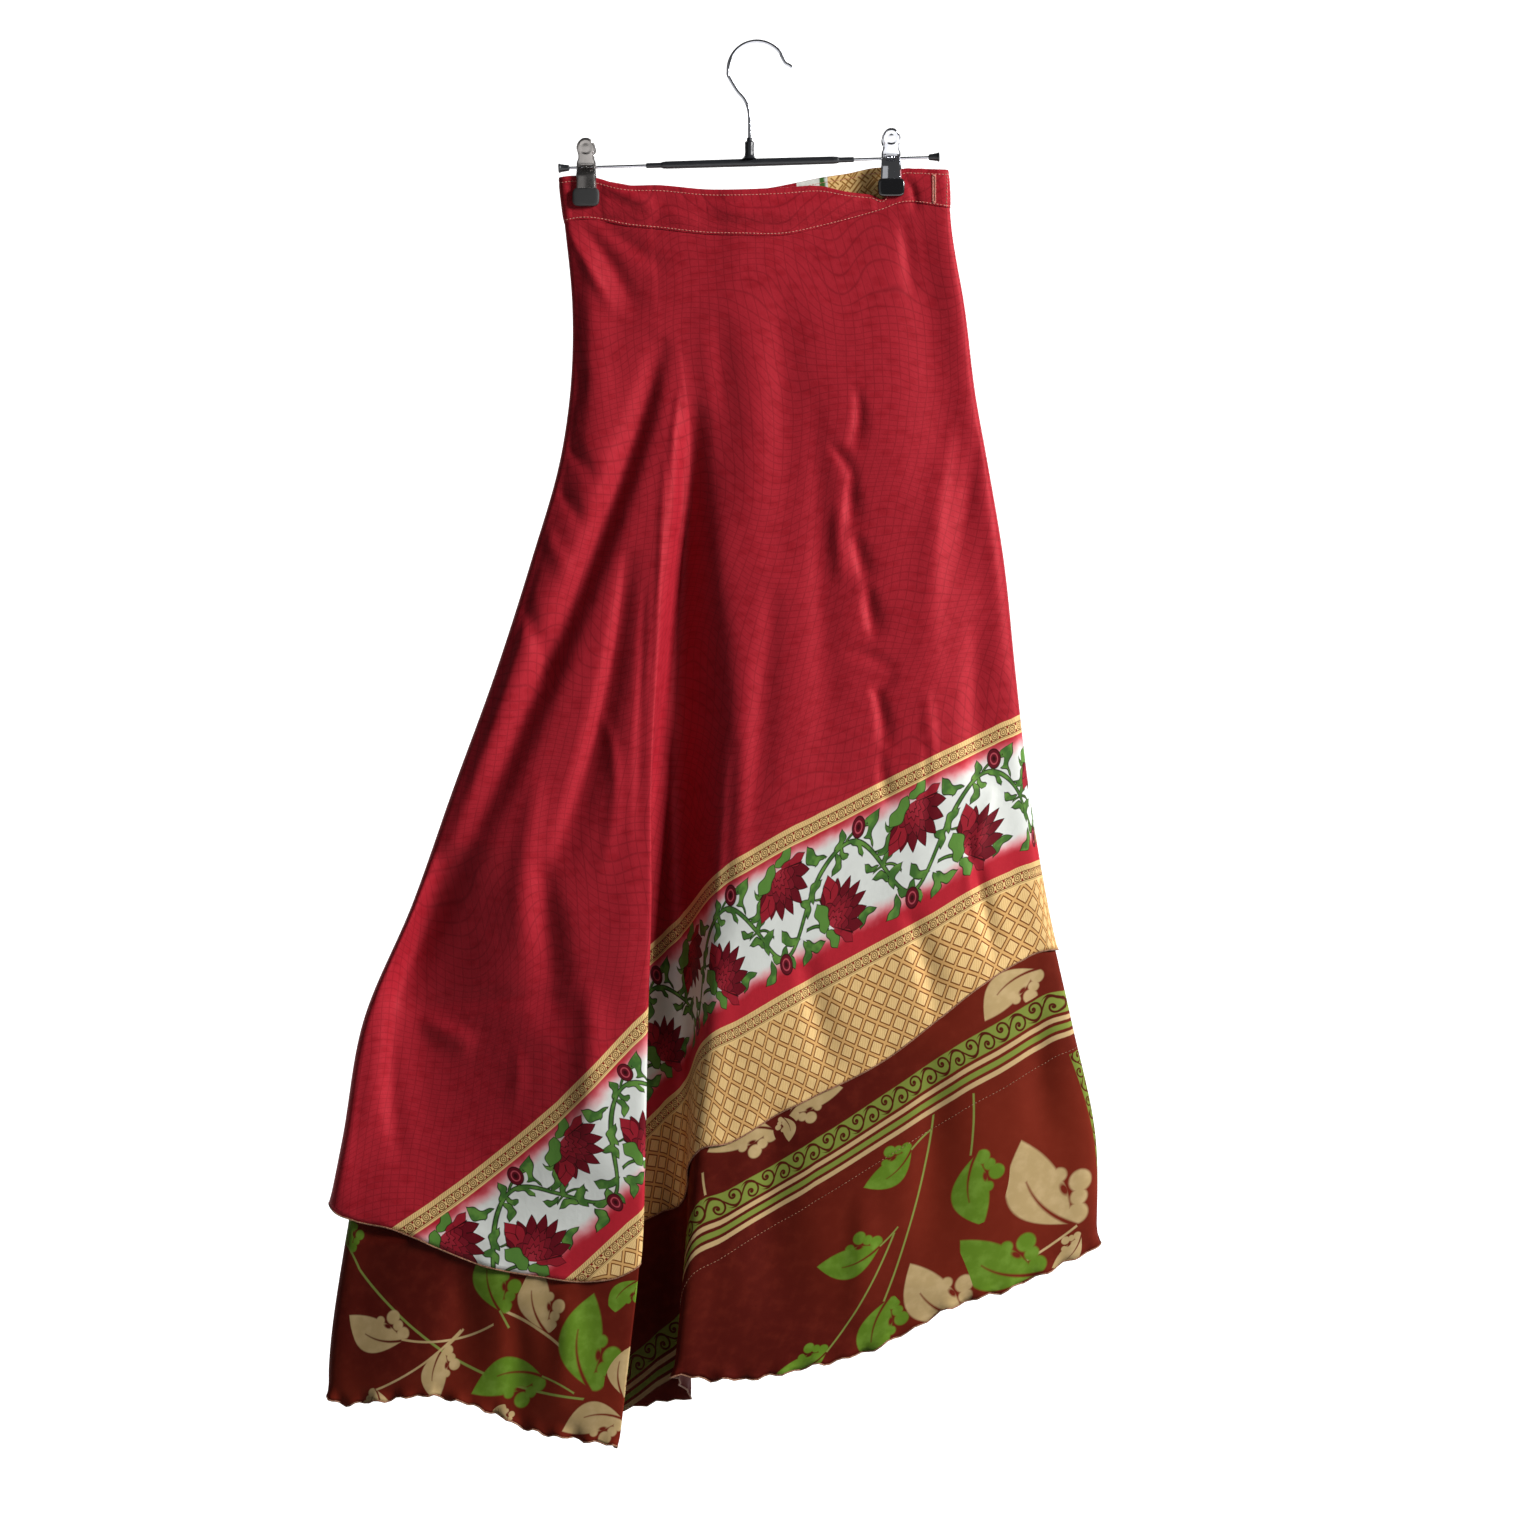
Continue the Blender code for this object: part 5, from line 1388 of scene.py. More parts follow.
def plate_points(middle, bar_down, face, facing):
    """Rows of points of a plate, how far up each row is, and how far across its points are."""
    foot, neck, tip = PLATE_ROWS[0][0], 8.0, PLATE_ROWS[-1][0]
    ups = np.concatenate([np.linspace(foot, neck, 34)[:-1], np.linspace(neck, tip, 34)])
    half, stand = (read_rows(PLATE_ROWS, column, ups) for column in (1, 2))
    tab = ups > TAB_UP - 5.0
    half[tab] = np.sqrt(np.maximum(TAB_RADIUS ** 2 - (ups[tab] - TAB_UP) ** 2, 0.3))
    on_jaw = abs(face) + JAW_OFF_BAND + JAW_THICKNESS / 2
    stand = mix(stand, on_jaw, smooth_step(0.0, 9.0, -ups))
    shares = np.array(PLATE_SHARES)
    across = half[:, None] * shares
    crown = PLATE_CROWN * (1 - shares ** 2) * (half[:, None] / CROWN_WIDTH)
    bent_back = SIDES_BENT * smooth_step(0.86, 1.0, np.abs(shares)) * smooth_step(23.2, 21.0, ups)[:, None]
    from_tab = np.hypot(across, (ups - TAB_UP)[:, None])
    rim = DISH_RIM * np.exp(-((from_tab - DISH_RIM_AT) / DISH_RIM_WIDTH) ** 2)
    dish = DISH_DEPTH * (1 - smooth_step(*DISH_EDGE, from_tab)) - rim
    out = stand[:, None] + crown - bent_back - dish
    up = np.broadcast_to(-(bar_down - ups)[:, None], out.shape)
    return np.stack([middle + across, facing * out, up], -1), ups, across


def plate_mesh(name, points, ups, across):
    """The plate's sheet, with the slot left out in which the spring shows."""
    mesh = grid_mesh(name, points)
    bm = bmesh.new()
    bm.from_mesh(mesh)
    bm.faces.ensure_lookup_table()
    columns = across.shape[1] - 1
    slot = []
    for index, face in enumerate(bm.faces):
        row, column = divmod(index, columns)
        up, aside = (ups[row] + ups[row + 1]) / 2, (across[row, column] + across[row, column + 1]) / 2
        if abs(up) < SLOT_HALF_HEIGHT and abs(aside) < SLOT_HALF_WIDTH:
            slot.append(face)
    bmesh.ops.delete(bm, geom=slot, context="FACES")
    bm.to_mesh(mesh)
    bm.free()
    mesh.shade_smooth()
    return mesh


def ear_parts(across, bar, facing, reach):
    """A flat ear at a side of a plate: it runs from the plate to the bar and ends round."""
    outline = [(-facing * reach, -EAR_RADIUS)]
    for turn in np.radians(np.arange(-80, 81, 16)):
        outline.append((facing * EAR_RADIUS * math.cos(turn), EAR_RADIUS * math.sin(turn)))
    outline.append((-facing * reach, EAR_RADIUS))
    ring = np.array([(across, out, bar + up) for out, up in outline])
    wall_step = np.array([EAR_HALF_WALL, 0.0, 0.0])
    return np.concatenate([ring - wall_step, ring + wall_step]), ring_faces(2, len(ring))


print("plate rows:", len(PLATE_ROWS))

# %% Jaws and springs
JAW_SQUARENESS, JAW_HALF_WIDTH, JAW_CORNER, JAW_SKIN = 0.38, 11.7, 4.0, 0.15
JAW_SHOULDER = ((-11.0, 1.6), (-9.9, 0.4), (-8.5, 0.0), (8.5, 0.0), (9.9, 0.4), (11.0, 1.6))
JAW_LAYERS = (
    # depth, size
    (0.25, 0.93), (0.0, 0.97), (0.35, 1.0), (1.7, 1.0), (2.7, 0.985), (3.2, 0.95), (3.45, 0.9), (3.6, 0.8),
    (3.7, 0.6), (3.72, 0.3),
)
COIL_TURNS, COIL_RADIUS, COIL_LENGTH, COIL_WIRE = (0.25, 5.75), 3.0, 7.4, 0.5


def jaw_parts(middle, bar_down, face, facing):
    """A dipped rubber jaw: an outline with round lower corners, domed on its outer side."""
    outline = []
    for turn in np.linspace(0, math.pi, 25):
        side = np.sign(math.cos(turn)) * abs(math.cos(turn)) ** JAW_SQUARENESS
        foot = abs(math.sin(turn)) ** JAW_SQUARENESS
        down = JAW_TOP + JAW_CORNER + foot * (JAW_BOTTOM - JAW_TOP - JAW_CORNER)
        outline.append((side * JAW_HALF_WIDTH, down))
    outline = np.array(outline + [(across, JAW_TOP + down) for across, down in JAW_SHOULDER])
    centre = np.array([0.0, (JAW_TOP + JAW_BOTTOM) / 2])
    points = []
    for depth, size in JAW_LAYERS:
        ring = centre + (outline - centre) * size
        out = np.full(len(ring), face + facing * (JAW_SKIN + depth))
        points.append(np.stack([middle + ring[:, 0], out, -(bar_down + ring[:, 1])], axis=-1))
    return np.concatenate(points), ring_faces(len(JAW_LAYERS), len(outline))


def spring_parts(middle):
    """The clip's coil spring on the bar, with a leg against each tab."""
    coil = []
    turns = np.linspace(*COIL_TURNS, 110) * 2 * math.pi
    for turn in turns:
        aside = BAR_RIGHT * COIL_LENGTH * (turn / turns[-1] - 0.52)
        around = math.cos(turn) * FRONT + math.sin(turn) * BAR_UP
        coil.append(bar_place(middle) + aside + COIL_RADIUS * around)
    leg = [coil[0] + BAR_UP * 9.0 + FRONT * 1.6, coil[0] + BAR_UP * 4.0 + FRONT * 0.2, coil[0]]
    return tube_parts(np.concatenate([smooth_path(leg, 4)[:-1], coil]), COIL_WIRE, 8)


print("jaw layers:", len(JAW_LAYERS))

# %% The clips put together
EAR_ASIDE, EAR_REACH, PLATE_BEVEL = {"front": 7.9, "rear": 6.9}, 2.6, 0.18
for side, middle in CLIP_MIDDLES.items():
    steel, bar_down = clip_steel[side], -bar_place(middle)[2] + CLIP_DROPS[side]
    for place, face in band_faces(middle).items():
        facing = -1 if place == "front" else 1
        name = f"clip_{side}_{place}_plate"
        mesh = plate_mesh(name, *plate_points(middle, bar_down, face, facing))
        piece = wall(show(name + "_steel", mesh, steel, [name]), PLATE_THICKNESS)
        soft = piece.modifiers.new("soft edges", "BEVEL")
        soft.width, soft.segments = PLATE_BEVEL * MM, 2
        ears = [ear_parts(middle + sign * EAR_ASIDE[place], -bar_down, facing, EAR_REACH)
                for sign in (-1, 1)]
        show(name + "_ears", solid_mesh(name + "_ears", ears), steel, [])
        jaw = [jaw_parts(middle, bar_down, face, facing)]
        add_part(f"clip_{side}_{place}_jaw", "_rubber", jaw, black_rubber[side], 70.0)
    add_part(f"clip_{side}_spring", "_coil", [spring_parts(middle)], steel, SMOOTH_ALL_ROUND)
print("clips:", list(CLIP_MIDDLES))

# %% [markdown]
# ## Dyes and drawn shapes
# Both cloths are printed, so their colours are laid over each other like printing screens: the ground
# first, then each motif and its outline. The motifs are drawn here from a few shapes: a pointed leaf, a
# stem, a petalled flower and a scroll. Each shape is a distance that is below zero inside it.

# %% Shapes that every print uses
def dye(code):
    """A colour as it is read off a screen, in the shader's own linear numbers."""
    return tuple((int(code[place:place + 2], 16) / 255) ** 2.2 for place in (0, 2, 4))


def local_place(finish, place, start, end, side=1.0, mark=0.0):
    """Coordinates that run from 0 to 1 along a leaf, and the mark that goes along with it."""
    (x0, y0), (x1, y1) = start, end
    length = math.hypot(x1 - x0, y1 - y0)
    settings = {"vector_type": "TEXTURE"}
    sockets = {"Vector": place, "Location": (x0, y0, -mark), "Scale": (length, side * length, 1.0),
               "Rotation": (0.0, 0.0, math.atan2(y1 - y0, x1 - x0))}
    return finish.add("ShaderNodeMapping", settings, sockets)


def distance_to(finish, place, middle):
    """How far a place is from a fixed point."""
    return finish.add("ShaderNodeVectorMath", {"operation": "DISTANCE"}, {0: place, 1: middle}, output=1)


def nearest_place(finish, choices):
    """Of several local places, each with the middle of its shape, the one whose middle is nearest."""
    chosen, middle = choices[0]
    best = distance_to(finish, chosen, middle)
    for local, middle in choices[1:]:
        away = distance_to(finish, local, middle)
        sockets = {0: best.over(away), 4: chosen, 5: local}
        chosen = finish.add("ShaderNodeMix", {"data_type": "VECTOR"}, sockets, output=1)
        best = best.least(away)
    return chosen


def band_mask(value, low, high, soft=0.3):
    """1 between two limits."""
    return (abs(value - (low + high) / 2) - (high - low) / 2).inside(soft)


def stem_distance(finish, place, start, end, bend, half_width):
    """Distance from a stem that bows sideways between its two ends."""
    length = math.hypot(end[0] - start[0], end[1] - start[1])
    x, y, _ = finish.parts(local_place(finish, place, start, end))
    bowed = abs(y + (x - x * x) * bend)
    return bowed.most(abs(x - 0.5) - 0.5 + half_width / length) * length - half_width


SCROLL_CELL, SCROLL_MIDDLE, SCROLL_SIZE, SCROLL_GROWTH, SCROLL_REACH = 15.6, 2.4, 9.3, 0.24, 9.4
SCROLL_WAVE, SCROLL_WAVE_STEEPNESS = 6.1, 0.75


def scroll_distance(along, across):
    """Distance from a running scroll; across is measured from the middle of its band."""
    cells = along * (1 / (2 * SCROLL_CELL))
    facing = ((cells + 0.25).floor() - (cells - 0.25).floor()) * 2.0 - 1.0
    x = along.wrapped(SCROLL_CELL / 2)
    y = across * facing - SCROLL_MIDDLE
    radius = (x * x + y * y) ** 0.5
    growth = (radius * (1 / SCROLL_SIZE)).maths("LOGARITHM", math.e) * (1 / SCROLL_GROWTH)
    spiral = (y.maths("ARCTAN2", x) + math.pi / 2 + growth).wrapped(math.pi)
    wave = abs(across + (along * (math.pi / SCROLL_CELL)).cos() * SCROLL_WAVE) * SCROLL_WAVE_STEEPNESS
    return wave.least((abs(spiral) * radius * SCROLL_GROWTH).most(radius - SCROLL_REACH))


print("red dye:", [round(value, 3) for value in dye("a0232d")])

# %% [markdown]
# ## The red ground
# The outer layer is satin printed with a warped net of thin lines and a faint scale pattern, tone on tone.
# Waves in the net make it look quilted from afar.

# %% Red ground
NET_HALF_PITCHES, NET_HALF_WIDTH, NET_EDGE = (3.9, 2.9), 0.28, 0.4
SATIN = {"roughness": 0.56, "metallic": 0.1, "specular_ior_level": 0.22, "specular_tint": (1.0, 0.42, 0.42),
         "sheen_weight": 0.04, "sheen_roughness": 0.35}


def red_ground(finish, across, down):
    """The red ground's colour, and the mask of its net of lines."""
    place = finish.vector(across * MM, down * MM)
    drift = finish.noise(place, 5.5, 0.6) - 0.5
    ripple = finish.noise(place, 16.0, 0.4) - 0.5
    aside = across + drift * 60.0 + ripple * 6.0
    below = down + drift * 190.0 + ripple * 34.0 + (across * 0.045).sin() * 6.0
    threads, rungs = ((abs(value.wrapped(pitch)) - NET_HALF_WIDTH).inside(NET_EDGE)
                      for value, pitch in zip((aside, below), NET_HALF_PITCHES))
    stretched = finish.vector(across * 0.001 + drift * 0.02, down * 0.0021)
    scales = finish.add("ShaderNodeTexVoronoi", {"feature": "F1"}, {"Vector": stretched, "Scale": 62.0})
    cloudy = finish.noise(place, 30.0, 3.0)
    net = threads.most(rungs)
    colour = finish.coats(dye("991f2a"), (cloudy.ramp(0.35, 0.75) * 0.5, dye("8a1823")),
                          (scales.ramp(0.15, 0.55) * 0.4, dye("ab2a36")), (net * 0.5, dye("5c0e18")))
    return colour, net


print("net lines every", [2 * pitch for pitch in NET_HALF_PITCHES], "mm")

# %% [markdown]
# ## The flower border
# The border is drawn on the slanted map: gold trims above and below, a white field with a creeping vine,
# and two flowers to each repeat of 130 mm. Everything is charted in millimetres on that repeat.

# %% Gold trim and lattice
TRIM_PITCH, TRIM_DEPTH, TRIM_MIDDLE, TRIM_EDGE_LINES = 8.4, 15.5, 8.7, 3.9
RING_RADII, RING_HALF_WIDTHS, MARK_OUT, MARK_HALF = (2.9, 1.3), (0.42, 0.36), 2.7, 0.95
HEAD_MIDDLE, HEAD_HALF, FOOT_MIDDLE, FOOT_HALF = 2.4, 1.9, 13.9, 1.3
LATTICE_PITCH, LATTICE_LINE, LATTICE_HALF_WIDTH, LATTICE_CELL, LATTICE_HATCH = 13.4, 5.05, 0.52, 4.6, 3.9
DIAGONAL = 0.7071


def gold_trim(along, depth):
    """Masks of a woven gold trim: its ground, its brown lines and its small dark red marks."""
    half = TRIM_PITCH / 2
    x, y = along.wrapped(half), depth - TRIM_MIDDLE
    between = abs((along + half).wrapped(half))
    from_middle = (x * x + y * y) ** 0.5
    ring = least_of([abs(from_middle - radius) - width
                     for radius, width in zip(RING_RADII, RING_HALF_WIDTHS)])
    squares = between.most(abs(abs(y) - MARK_OUT)) - MARK_HALF
    hatch = (abs((along + depth * 0.55).wrapped(0.95)) - 0.32).most(abs(depth - HEAD_MIDDLE) - HEAD_HALF)
    edges = abs(abs(y) - TRIM_EDGE_LINES) - 0.42
    from_foot = depth - FOOT_MIDDLE
    foot = (abs(from_foot.wrapped(1.0)) - 0.32).most(abs(from_foot) - FOOT_HALF)
    ground = band_mask(depth, 0.0, TRIM_DEPTH)
    lines = ring.least(edges).inside(0.22).most(hatch.least(foot).inside(0.22) * 0.55)
    return ground, lines * ground, squares.inside(0.3) * ground


def lattice(along, depth):
    """Masks of the diamond lattice: its brown lines, the hatch in each diamond, and the diamond's ground."""
    one, two = (along + depth) * DIAGONAL, (along - depth) * DIAGONAL
    nearest = abs(one.wrapped(LATTICE_PITCH / 2)).most(abs(two.wrapped(LATTICE_PITCH / 2)))
    lines = abs(nearest - LATTICE_LINE) - LATTICE_HALF_WIDTH
    hatch = (abs((along + depth * 0.3).wrapped(0.9)) - 0.3).most(nearest - LATTICE_HATCH)
    return lines.inside(0.25), hatch.inside(0.25), (nearest - LATTICE_CELL).inside(0.3)


print("trim repeats every", TRIM_PITCH, "mm, lattice every", LATTICE_PITCH, "mm")

# %% Leaves and flowers of the border
REPEAT = 130.0
BORDER_LEAVES = (
    # start along, start across, end along, end across, side it bulges to
    (44, 38, 25, 21, 1), (50, 36, 59, 21, -1), (42, 38, 31, 42, -1), (52, 38, 46, 56, 1),
    (66, 36, 77, 53, 1), (86, 52, 96, 20, 1), (89, 58, 104, 42, -1), (72, 38, 86, 25, 1),
    (103, 92, 114, 73, 1), (99, 84, 84, 75, -1), (105, 96, 91, 114, 1), (86, 99, 67, 110, -1),
    (13, 95, 33, 104, -1), (10, 94, 5, 115, 1), (8, 92, -9, 77, 1), (26, 71, 38, 54, 1),
    (-33, 30, -20, 44, -1), (-42, 50, -53, 34, -1), (18, 80, 12, 62, -1), (-8, 98, -24, 92, 1),
    (-12, 100, -4, 114, 1), (58, 35, 66, 47, -1), (92, 66, 79, 59, 1), (108, 99, 123, 90, -1),
    (95, 72, 107, 61, 1),
)
BORDER_STEMS = (
    # start along, start across, end along, end across, bow, half width
    (-41, 54, -8, 25, -1.25, 1.7), (15, 88, 37, 97, 0.5, 1.7), (62, 34, 88, 30, 0.6, 1.5),
    (28, 68, 52, 60, -0.8, 1.3), (86, 70, 112, 80, 0.9, 1.3),
)
NEAR_REACHES_TO = 32
BUDS, BUD_SQUEEZE = ((75, 27), (119, 106)), 0.72
FLOWER_LAYERS = (
    # squeeze, size, petals, how deep they are cut, offset, how far round they go
    (1.35, 42.0, 17, 0.24, 0.0, 1.3), (1.9, 31.0, 13, 0.2, 0.5, 1.5), (1.9, 23.5, 13, 0.22, 0.0, 1.5),
    (1.9, 16.0, 11, 0.24, 0.5, 1.5), (1.9, 9.0, 9, 0.24, 0.0, 1.5),
)
FLOWERS = (
    # where its base is, which way it turns, which copy of the repeat it is in, its side
    ((-7.0, 25.5), 1.31, "near", 1.0), ((36.0, 96.5), -0.61, "far", -1.0),
)
FLOWER_MIDDLE = (18.0, 0.0, 0.0)
SEPALS = (((2, 5), (31, 32), 1), ((2, -4), (7, -29), -1))
CALYX = (((-4, 0), (9, 24), -1), ((-1, 1), (-5, -19), 1))


def flower(finish, place):
    """Colour masks of one flower, seen along its own axis from its base; lengths in millimetres."""
    u, v, _ = finish.parts(place)
    middle = u - 4.0
    fills, outlines, silhouette = [], None, None
    for squeeze, size, petals, jag, offset, reach in FLOWER_LAYERS:
        narrowed = v * squeeze
        radius = (middle * middle + narrowed * narrowed) ** 0.5
        angle = narrowed.maths("ARCTAN2", middle)
        pitch = math.pi / petals
        wave = abs((angle + offset * 2 * pitch).wrapped(pitch)) * (1 / pitch)
        edge = (radius + wave * (jag * size) - size).most((abs(angle) - reach) * 20.0)
        fills.append(edge.inside(0.25))
        if silhouette is None:
            silhouette = edge
            outlines = abs(edge).least(((1.0 - wave) * radius * pitch).most(26.0 - radius))
        else:
            outlines = outlines.least(abs(edge))
    return fills, (outlines - 0.52).most(silhouette - 0.6).inside(0.25)


def leaf_distance(finish, local, bend, width):
    """Distance from a pointed leaf whose local place runs from 0 to 1 along it; its mark is its length."""
    x, y, length = finish.parts(local)
    bow = x - x * x
    return (abs(y + bow * bend) - bow * ((x * 9.5 + 0.6).sin() * 0.26 + 0.95) * width) * length


def small_leaves(finish, place, rows, bend, width):
    """Distance from the small leaves at the foot of a flower."""
    leaves = []
    for start, end, side in rows:
        local = local_place(finish, place, start, end, side, math.dist(start, end))
        leaves.append(leaf_distance(finish, local, bend, width))
    return least_of(leaves)


print("leaves:", len(BORDER_LEAVES), "stems:", len(BORDER_STEMS), "petal layers:", len(FLOWER_LAYERS))

# %% The border put together
def border_colour(finish, along, depth, ground):
    """The border's colours on its white field, laid over the red ground."""
    near, far = along.wrapped(REPEAT / 2), (along - REPEAT / 2).wrapped(REPEAT / 2) + REPEAT / 2
    places = {"near": finish.vector(near, depth), "far": finish.vector(far, depth)}
    spray = finish.noise(finish.vector(along * MM, depth * MM), 45.0, 3.0) - 0.5
    soft = depth + spray * 15.0
    white = soft.ramp(19.0, 33.0) * (1.0 - soft.ramp(95.0, 109.0))
    rosy = soft.ramp(14.0, 26.0) * (1.0 - soft.ramp(101.0, 114.0))

    choices = []
    for x0, y0, x1, y1, side in BORDER_LEAVES:
        size = math.hypot(x1 - x0, y1 - y0)
        place = places["far" if (x0 + x1) / 2 > NEAR_REACHES_TO else "near"]
        choices.append((local_place(finish, place, (x0, y0), (x1, y1), side, size), (0.5, 0.0, size)))
    green = leaf_distance(finish, nearest_place(finish, choices), 1.1, 0.98)
    phase = (along + 12.0) * (2 * math.pi / REPEAT)
    phase = phase + ((phase - 1.2).cos() - 1.0) * 0.28
    steep = phase.sin() * 1.55
    vine = abs(depth - 68.0 - phase.cos() * 33.0) / (steep * steep + 1.0) ** 0.5 - 2.1
    green = green.least(vine)
    for x0, y0, x1, y1, bend, half in BORDER_STEMS:
        place = places["far" if x0 > NEAR_REACHES_TO else "near"]
        green = green.least(stem_distance(finish, place, (x0, y0), (x1, y1), bend, half))

    blooms = []
    for (x, y), turn, copy, side in FLOWERS:
        local = local_place(finish, places[copy], (x, y), (x + math.cos(turn), y + math.sin(turn)), side)
        blooms.append((local, FLOWER_MIDDLE))
    bloom = nearest_place(finish, blooms)
    fills, lines = flower(finish, bloom)
    sepals = small_leaves(finish, bloom, SEPALS, 0.5, 0.85)
    calyx = small_leaves(finish, bloom, CALYX, -0.35, 1.15)
    sockets = {0: places["far"], 1: (1.0, BUD_SQUEEZE, 1.0)}
    squeezed = finish.add("ShaderNodeVectorMath", {"operation": "MULTIPLY"}, sockets)
    buds = least_of([distance_to(finish, squeezed, (x, y * BUD_SQUEEZE, 0.0)) for x, y in BUDS])
    tone = finish.noise(finish.vector(along * MM, depth * MM), 80.0, 2.0)
    leaf_green = finish.coats(dye("3c6630"), (tone.ramp(0.42, 0.64), dye("5c883e")))
    petals = [(fill, dye(code)) for fill, code in zip(fills[1:], ("711a26", "841f2b", "902632", "9b2c38"))]
    return finish.coats(
        ground, (rosy, dye("d8707a")), (white, dye("d6dad4")),
        (green.inside(0.3), dye("122611")), ((green + 0.9).inside(0.25), leaf_green),
        (fills[0], dye("5c111d")), (sepals.inside(0.3), dye("300810")),
        ((sepals + 0.6).inside(0.25), dye("8e212d")), *petals, (lines, dye("270509")),
        (calyx.inside(0.3), dye("122611")), ((calyx + 0.8).inside(0.25), dye("55823a")),
        ((buds - 6.6).inside(0.3), dye("2a060c")), ((buds - 5.8).inside(0.3), dye("571420")),
        ((abs(buds - 3.4) - 0.45).inside(0.25), dye("b04a54")), ((buds - 1.5).inside(0.3), dye("2e070e")))


print("flowers and buds to a repeat:", len(FLOWERS), len(BUDS))

# %% Painting the outer layer
LATTICE_STARTS = 142.5
across, down = outer_cloth.map_in_mm("cloth")
along, depth = outer_cloth.map_in_mm("border")
ground, net = red_ground(outer_cloth, across, down)
plain = outer_cloth.coats(ground, (depth.over(TRIM_DEPTH), dye("ab2632")))
colour = border_colour(outer_cloth, along, depth, plain)
colour = outer_cloth.coats(plain, (band_mask(depth, TRIM_DEPTH, BORDER_WIDTH), colour),
                           (depth.over(BORDER_WIDTH), dye("d3a567")))
woven = outer_cloth.noise(outer_cloth.vector(along * 0.002, depth * 0.0004), 400.0, 2.0)
lines, hatch, cells = lattice(along, depth - LATTICE_STARTS)
below = depth.over(LATTICE_STARTS)
colour = outer_cloth.coats(colour, (cells * below, dye("e6c488")), (hatch * below * 0.5, dye("b5833f")),
                           (lines * below, dye("6a3b16")))
for first in (0.0, BORDER_WIDTH):
    woven_gold, lines, squares = gold_trim(along, depth - first)
    colour = outer_cloth.coats(colour, (woven_gold, dye("e3c182")), (lines, dye("5e3412")),
                               (squares, dye("7c1a1c")))
crumple = outer_cloth.noise(outer_cloth.vector(across * MM, down * MM), 38.0, 3.0, 0.55)
outer_cloth.set(base_color=colour, **SATIN)
outer_cloth.bump(crumple * 1.3 + woven * 0.08 - net * 0.03, 0.35, 0.002)
print("outer layer's nodes:", len(outer_cloth.tree.nodes))

# %% [markdown]
# ## The leaf print of the inner layer
# The inner layer is brown with large lobed leaves in two colours on long stems. They are listed as they
# show in the photo, from the leaf's base to its tip, and carried over onto the cloth's own map, so they
# bend with the folds.

# %% Leaves and stems as seen, in millimetres across and down
TAN, GREEN = 0.0, 1.0
SEEN_LEAVES = (
    # base across, base down, tip across, tip down, side its lobes are on, dye
    (-224, 1103, -229, 1043, 1, GREEN), (-185, 1120, -190, 1062, 1, TAN), (-147, 1169, -142, 1088, 1, GREEN),
    (-103, 1077, -128, 1107, -1, GREEN), (-309, 1129, -355, 1107, 1, TAN), (-272, 1135, -279, 1182, -1, TAN),
    (-188, 1160, -248, 1175, -1, GREEN), (-219, 1203, -222, 1178, 1, TAN), (-117, 1197, -170, 1208, -1, TAN),
    (-332, 1172, -333, 1210, 1, TAN), (-117, 1176, -110, 1130, 1, TAN), (-355, 1050, -352, 1008, 1, GREEN),
    (243, 806, 198, 851, -1, TAN), (13, 945, -43, 965, -1, TAN), (28, 931, 74, 909, 1, TAN),
    (23, 935, 27, 956, 1, TAN), (136, 963, 92, 996, 1, GREEN), (190, 968, 197, 1029, -1, GREEN),
    (273, 1027, 230, 955, 1, TAN), (243, 1071, 176, 1042, 1, GREEN), (180, 1108, 132, 1062, 1, TAN),
    (108, 1047, 53, 1065, 1, GREEN), (115, 1094, 103, 1151, -1, GREEN), (60, 1139, 17, 1158, 1, GREEN),
    (282, 1038, 256, 1066, 1, TAN),
)
SEEN_STEMS = (
    # start across, start down, end across, end down, bow, half width, dye
    (-346, 1067, -151, 1180, -0.4, 1.1, GREEN), (-357, 1046, -346, 1067, 0.1, 1.0, GREEN),
    (-229, 1115, -309, 1128, 0.35, 1.0, TAN), (-257, 1120, -331, 1172, 0.25, 1.0, TAN),
    (-256, 1119, -270, 1135, 0.1, 0.9, TAN), (-217, 1104, -171, 1135, 0.12, 1.2, TAN),
    (-224, 1103, -216, 1118, 0.0, 1.0, GREEN), (-188, 1160, -159, 1175, 0.1, 0.8, GREEN),
    (154, 928, 110, 1095, 0.1, 0.8, GREEN), (151, 945, 136, 963, -0.1, 0.8, GREEN),
    (121, 1035, 60, 1139, 0.16, 0.8, GREEN), (123, 1030, 108, 1047, 0.1, 0.7, GREEN),
    (188, 914, 186, 968, 0.05, 0.9, GREEN), (278, 1029, 236, 1059, 0.1, 1.1, TAN),
    (-47, 983, -39, 1022, -0.15, 1.0, TAN),
)
# The leaves' middle and how far the repeat reaches from it, across and down; each next repeat lies lower.
LEAF_REPEAT_ACROSS, LEAF_REPEAT_DOWN = (130.0, 440.0), (1000.0, 225.0)
LEAF_DROP = 130.0
LEAF_LOBES = ((0.05, 0.09, 0.1), (0.18, 0.17, 0.08), (0.31, 0.25, 0.105), (0.48, 0.12, 0.07))
FOLD_EDGE_ACROSS = -95


def print_place(across, down):
    """Where a place of the seen inner layer lies on the cloth's map."""
    ends = ("left_edge", "lip") if across < FOLD_EDGE_ACROSS else ("floor", "right_edge")
    along = np.linspace(GUIDE[ends[0]], GUIDE[ends[1]], 241)
    place = along[np.argmin(np.abs(across_at(along, down, True) - across))]
    return float(length_along(np.array([place]), np.array([float(down)]))[0]), float(down)


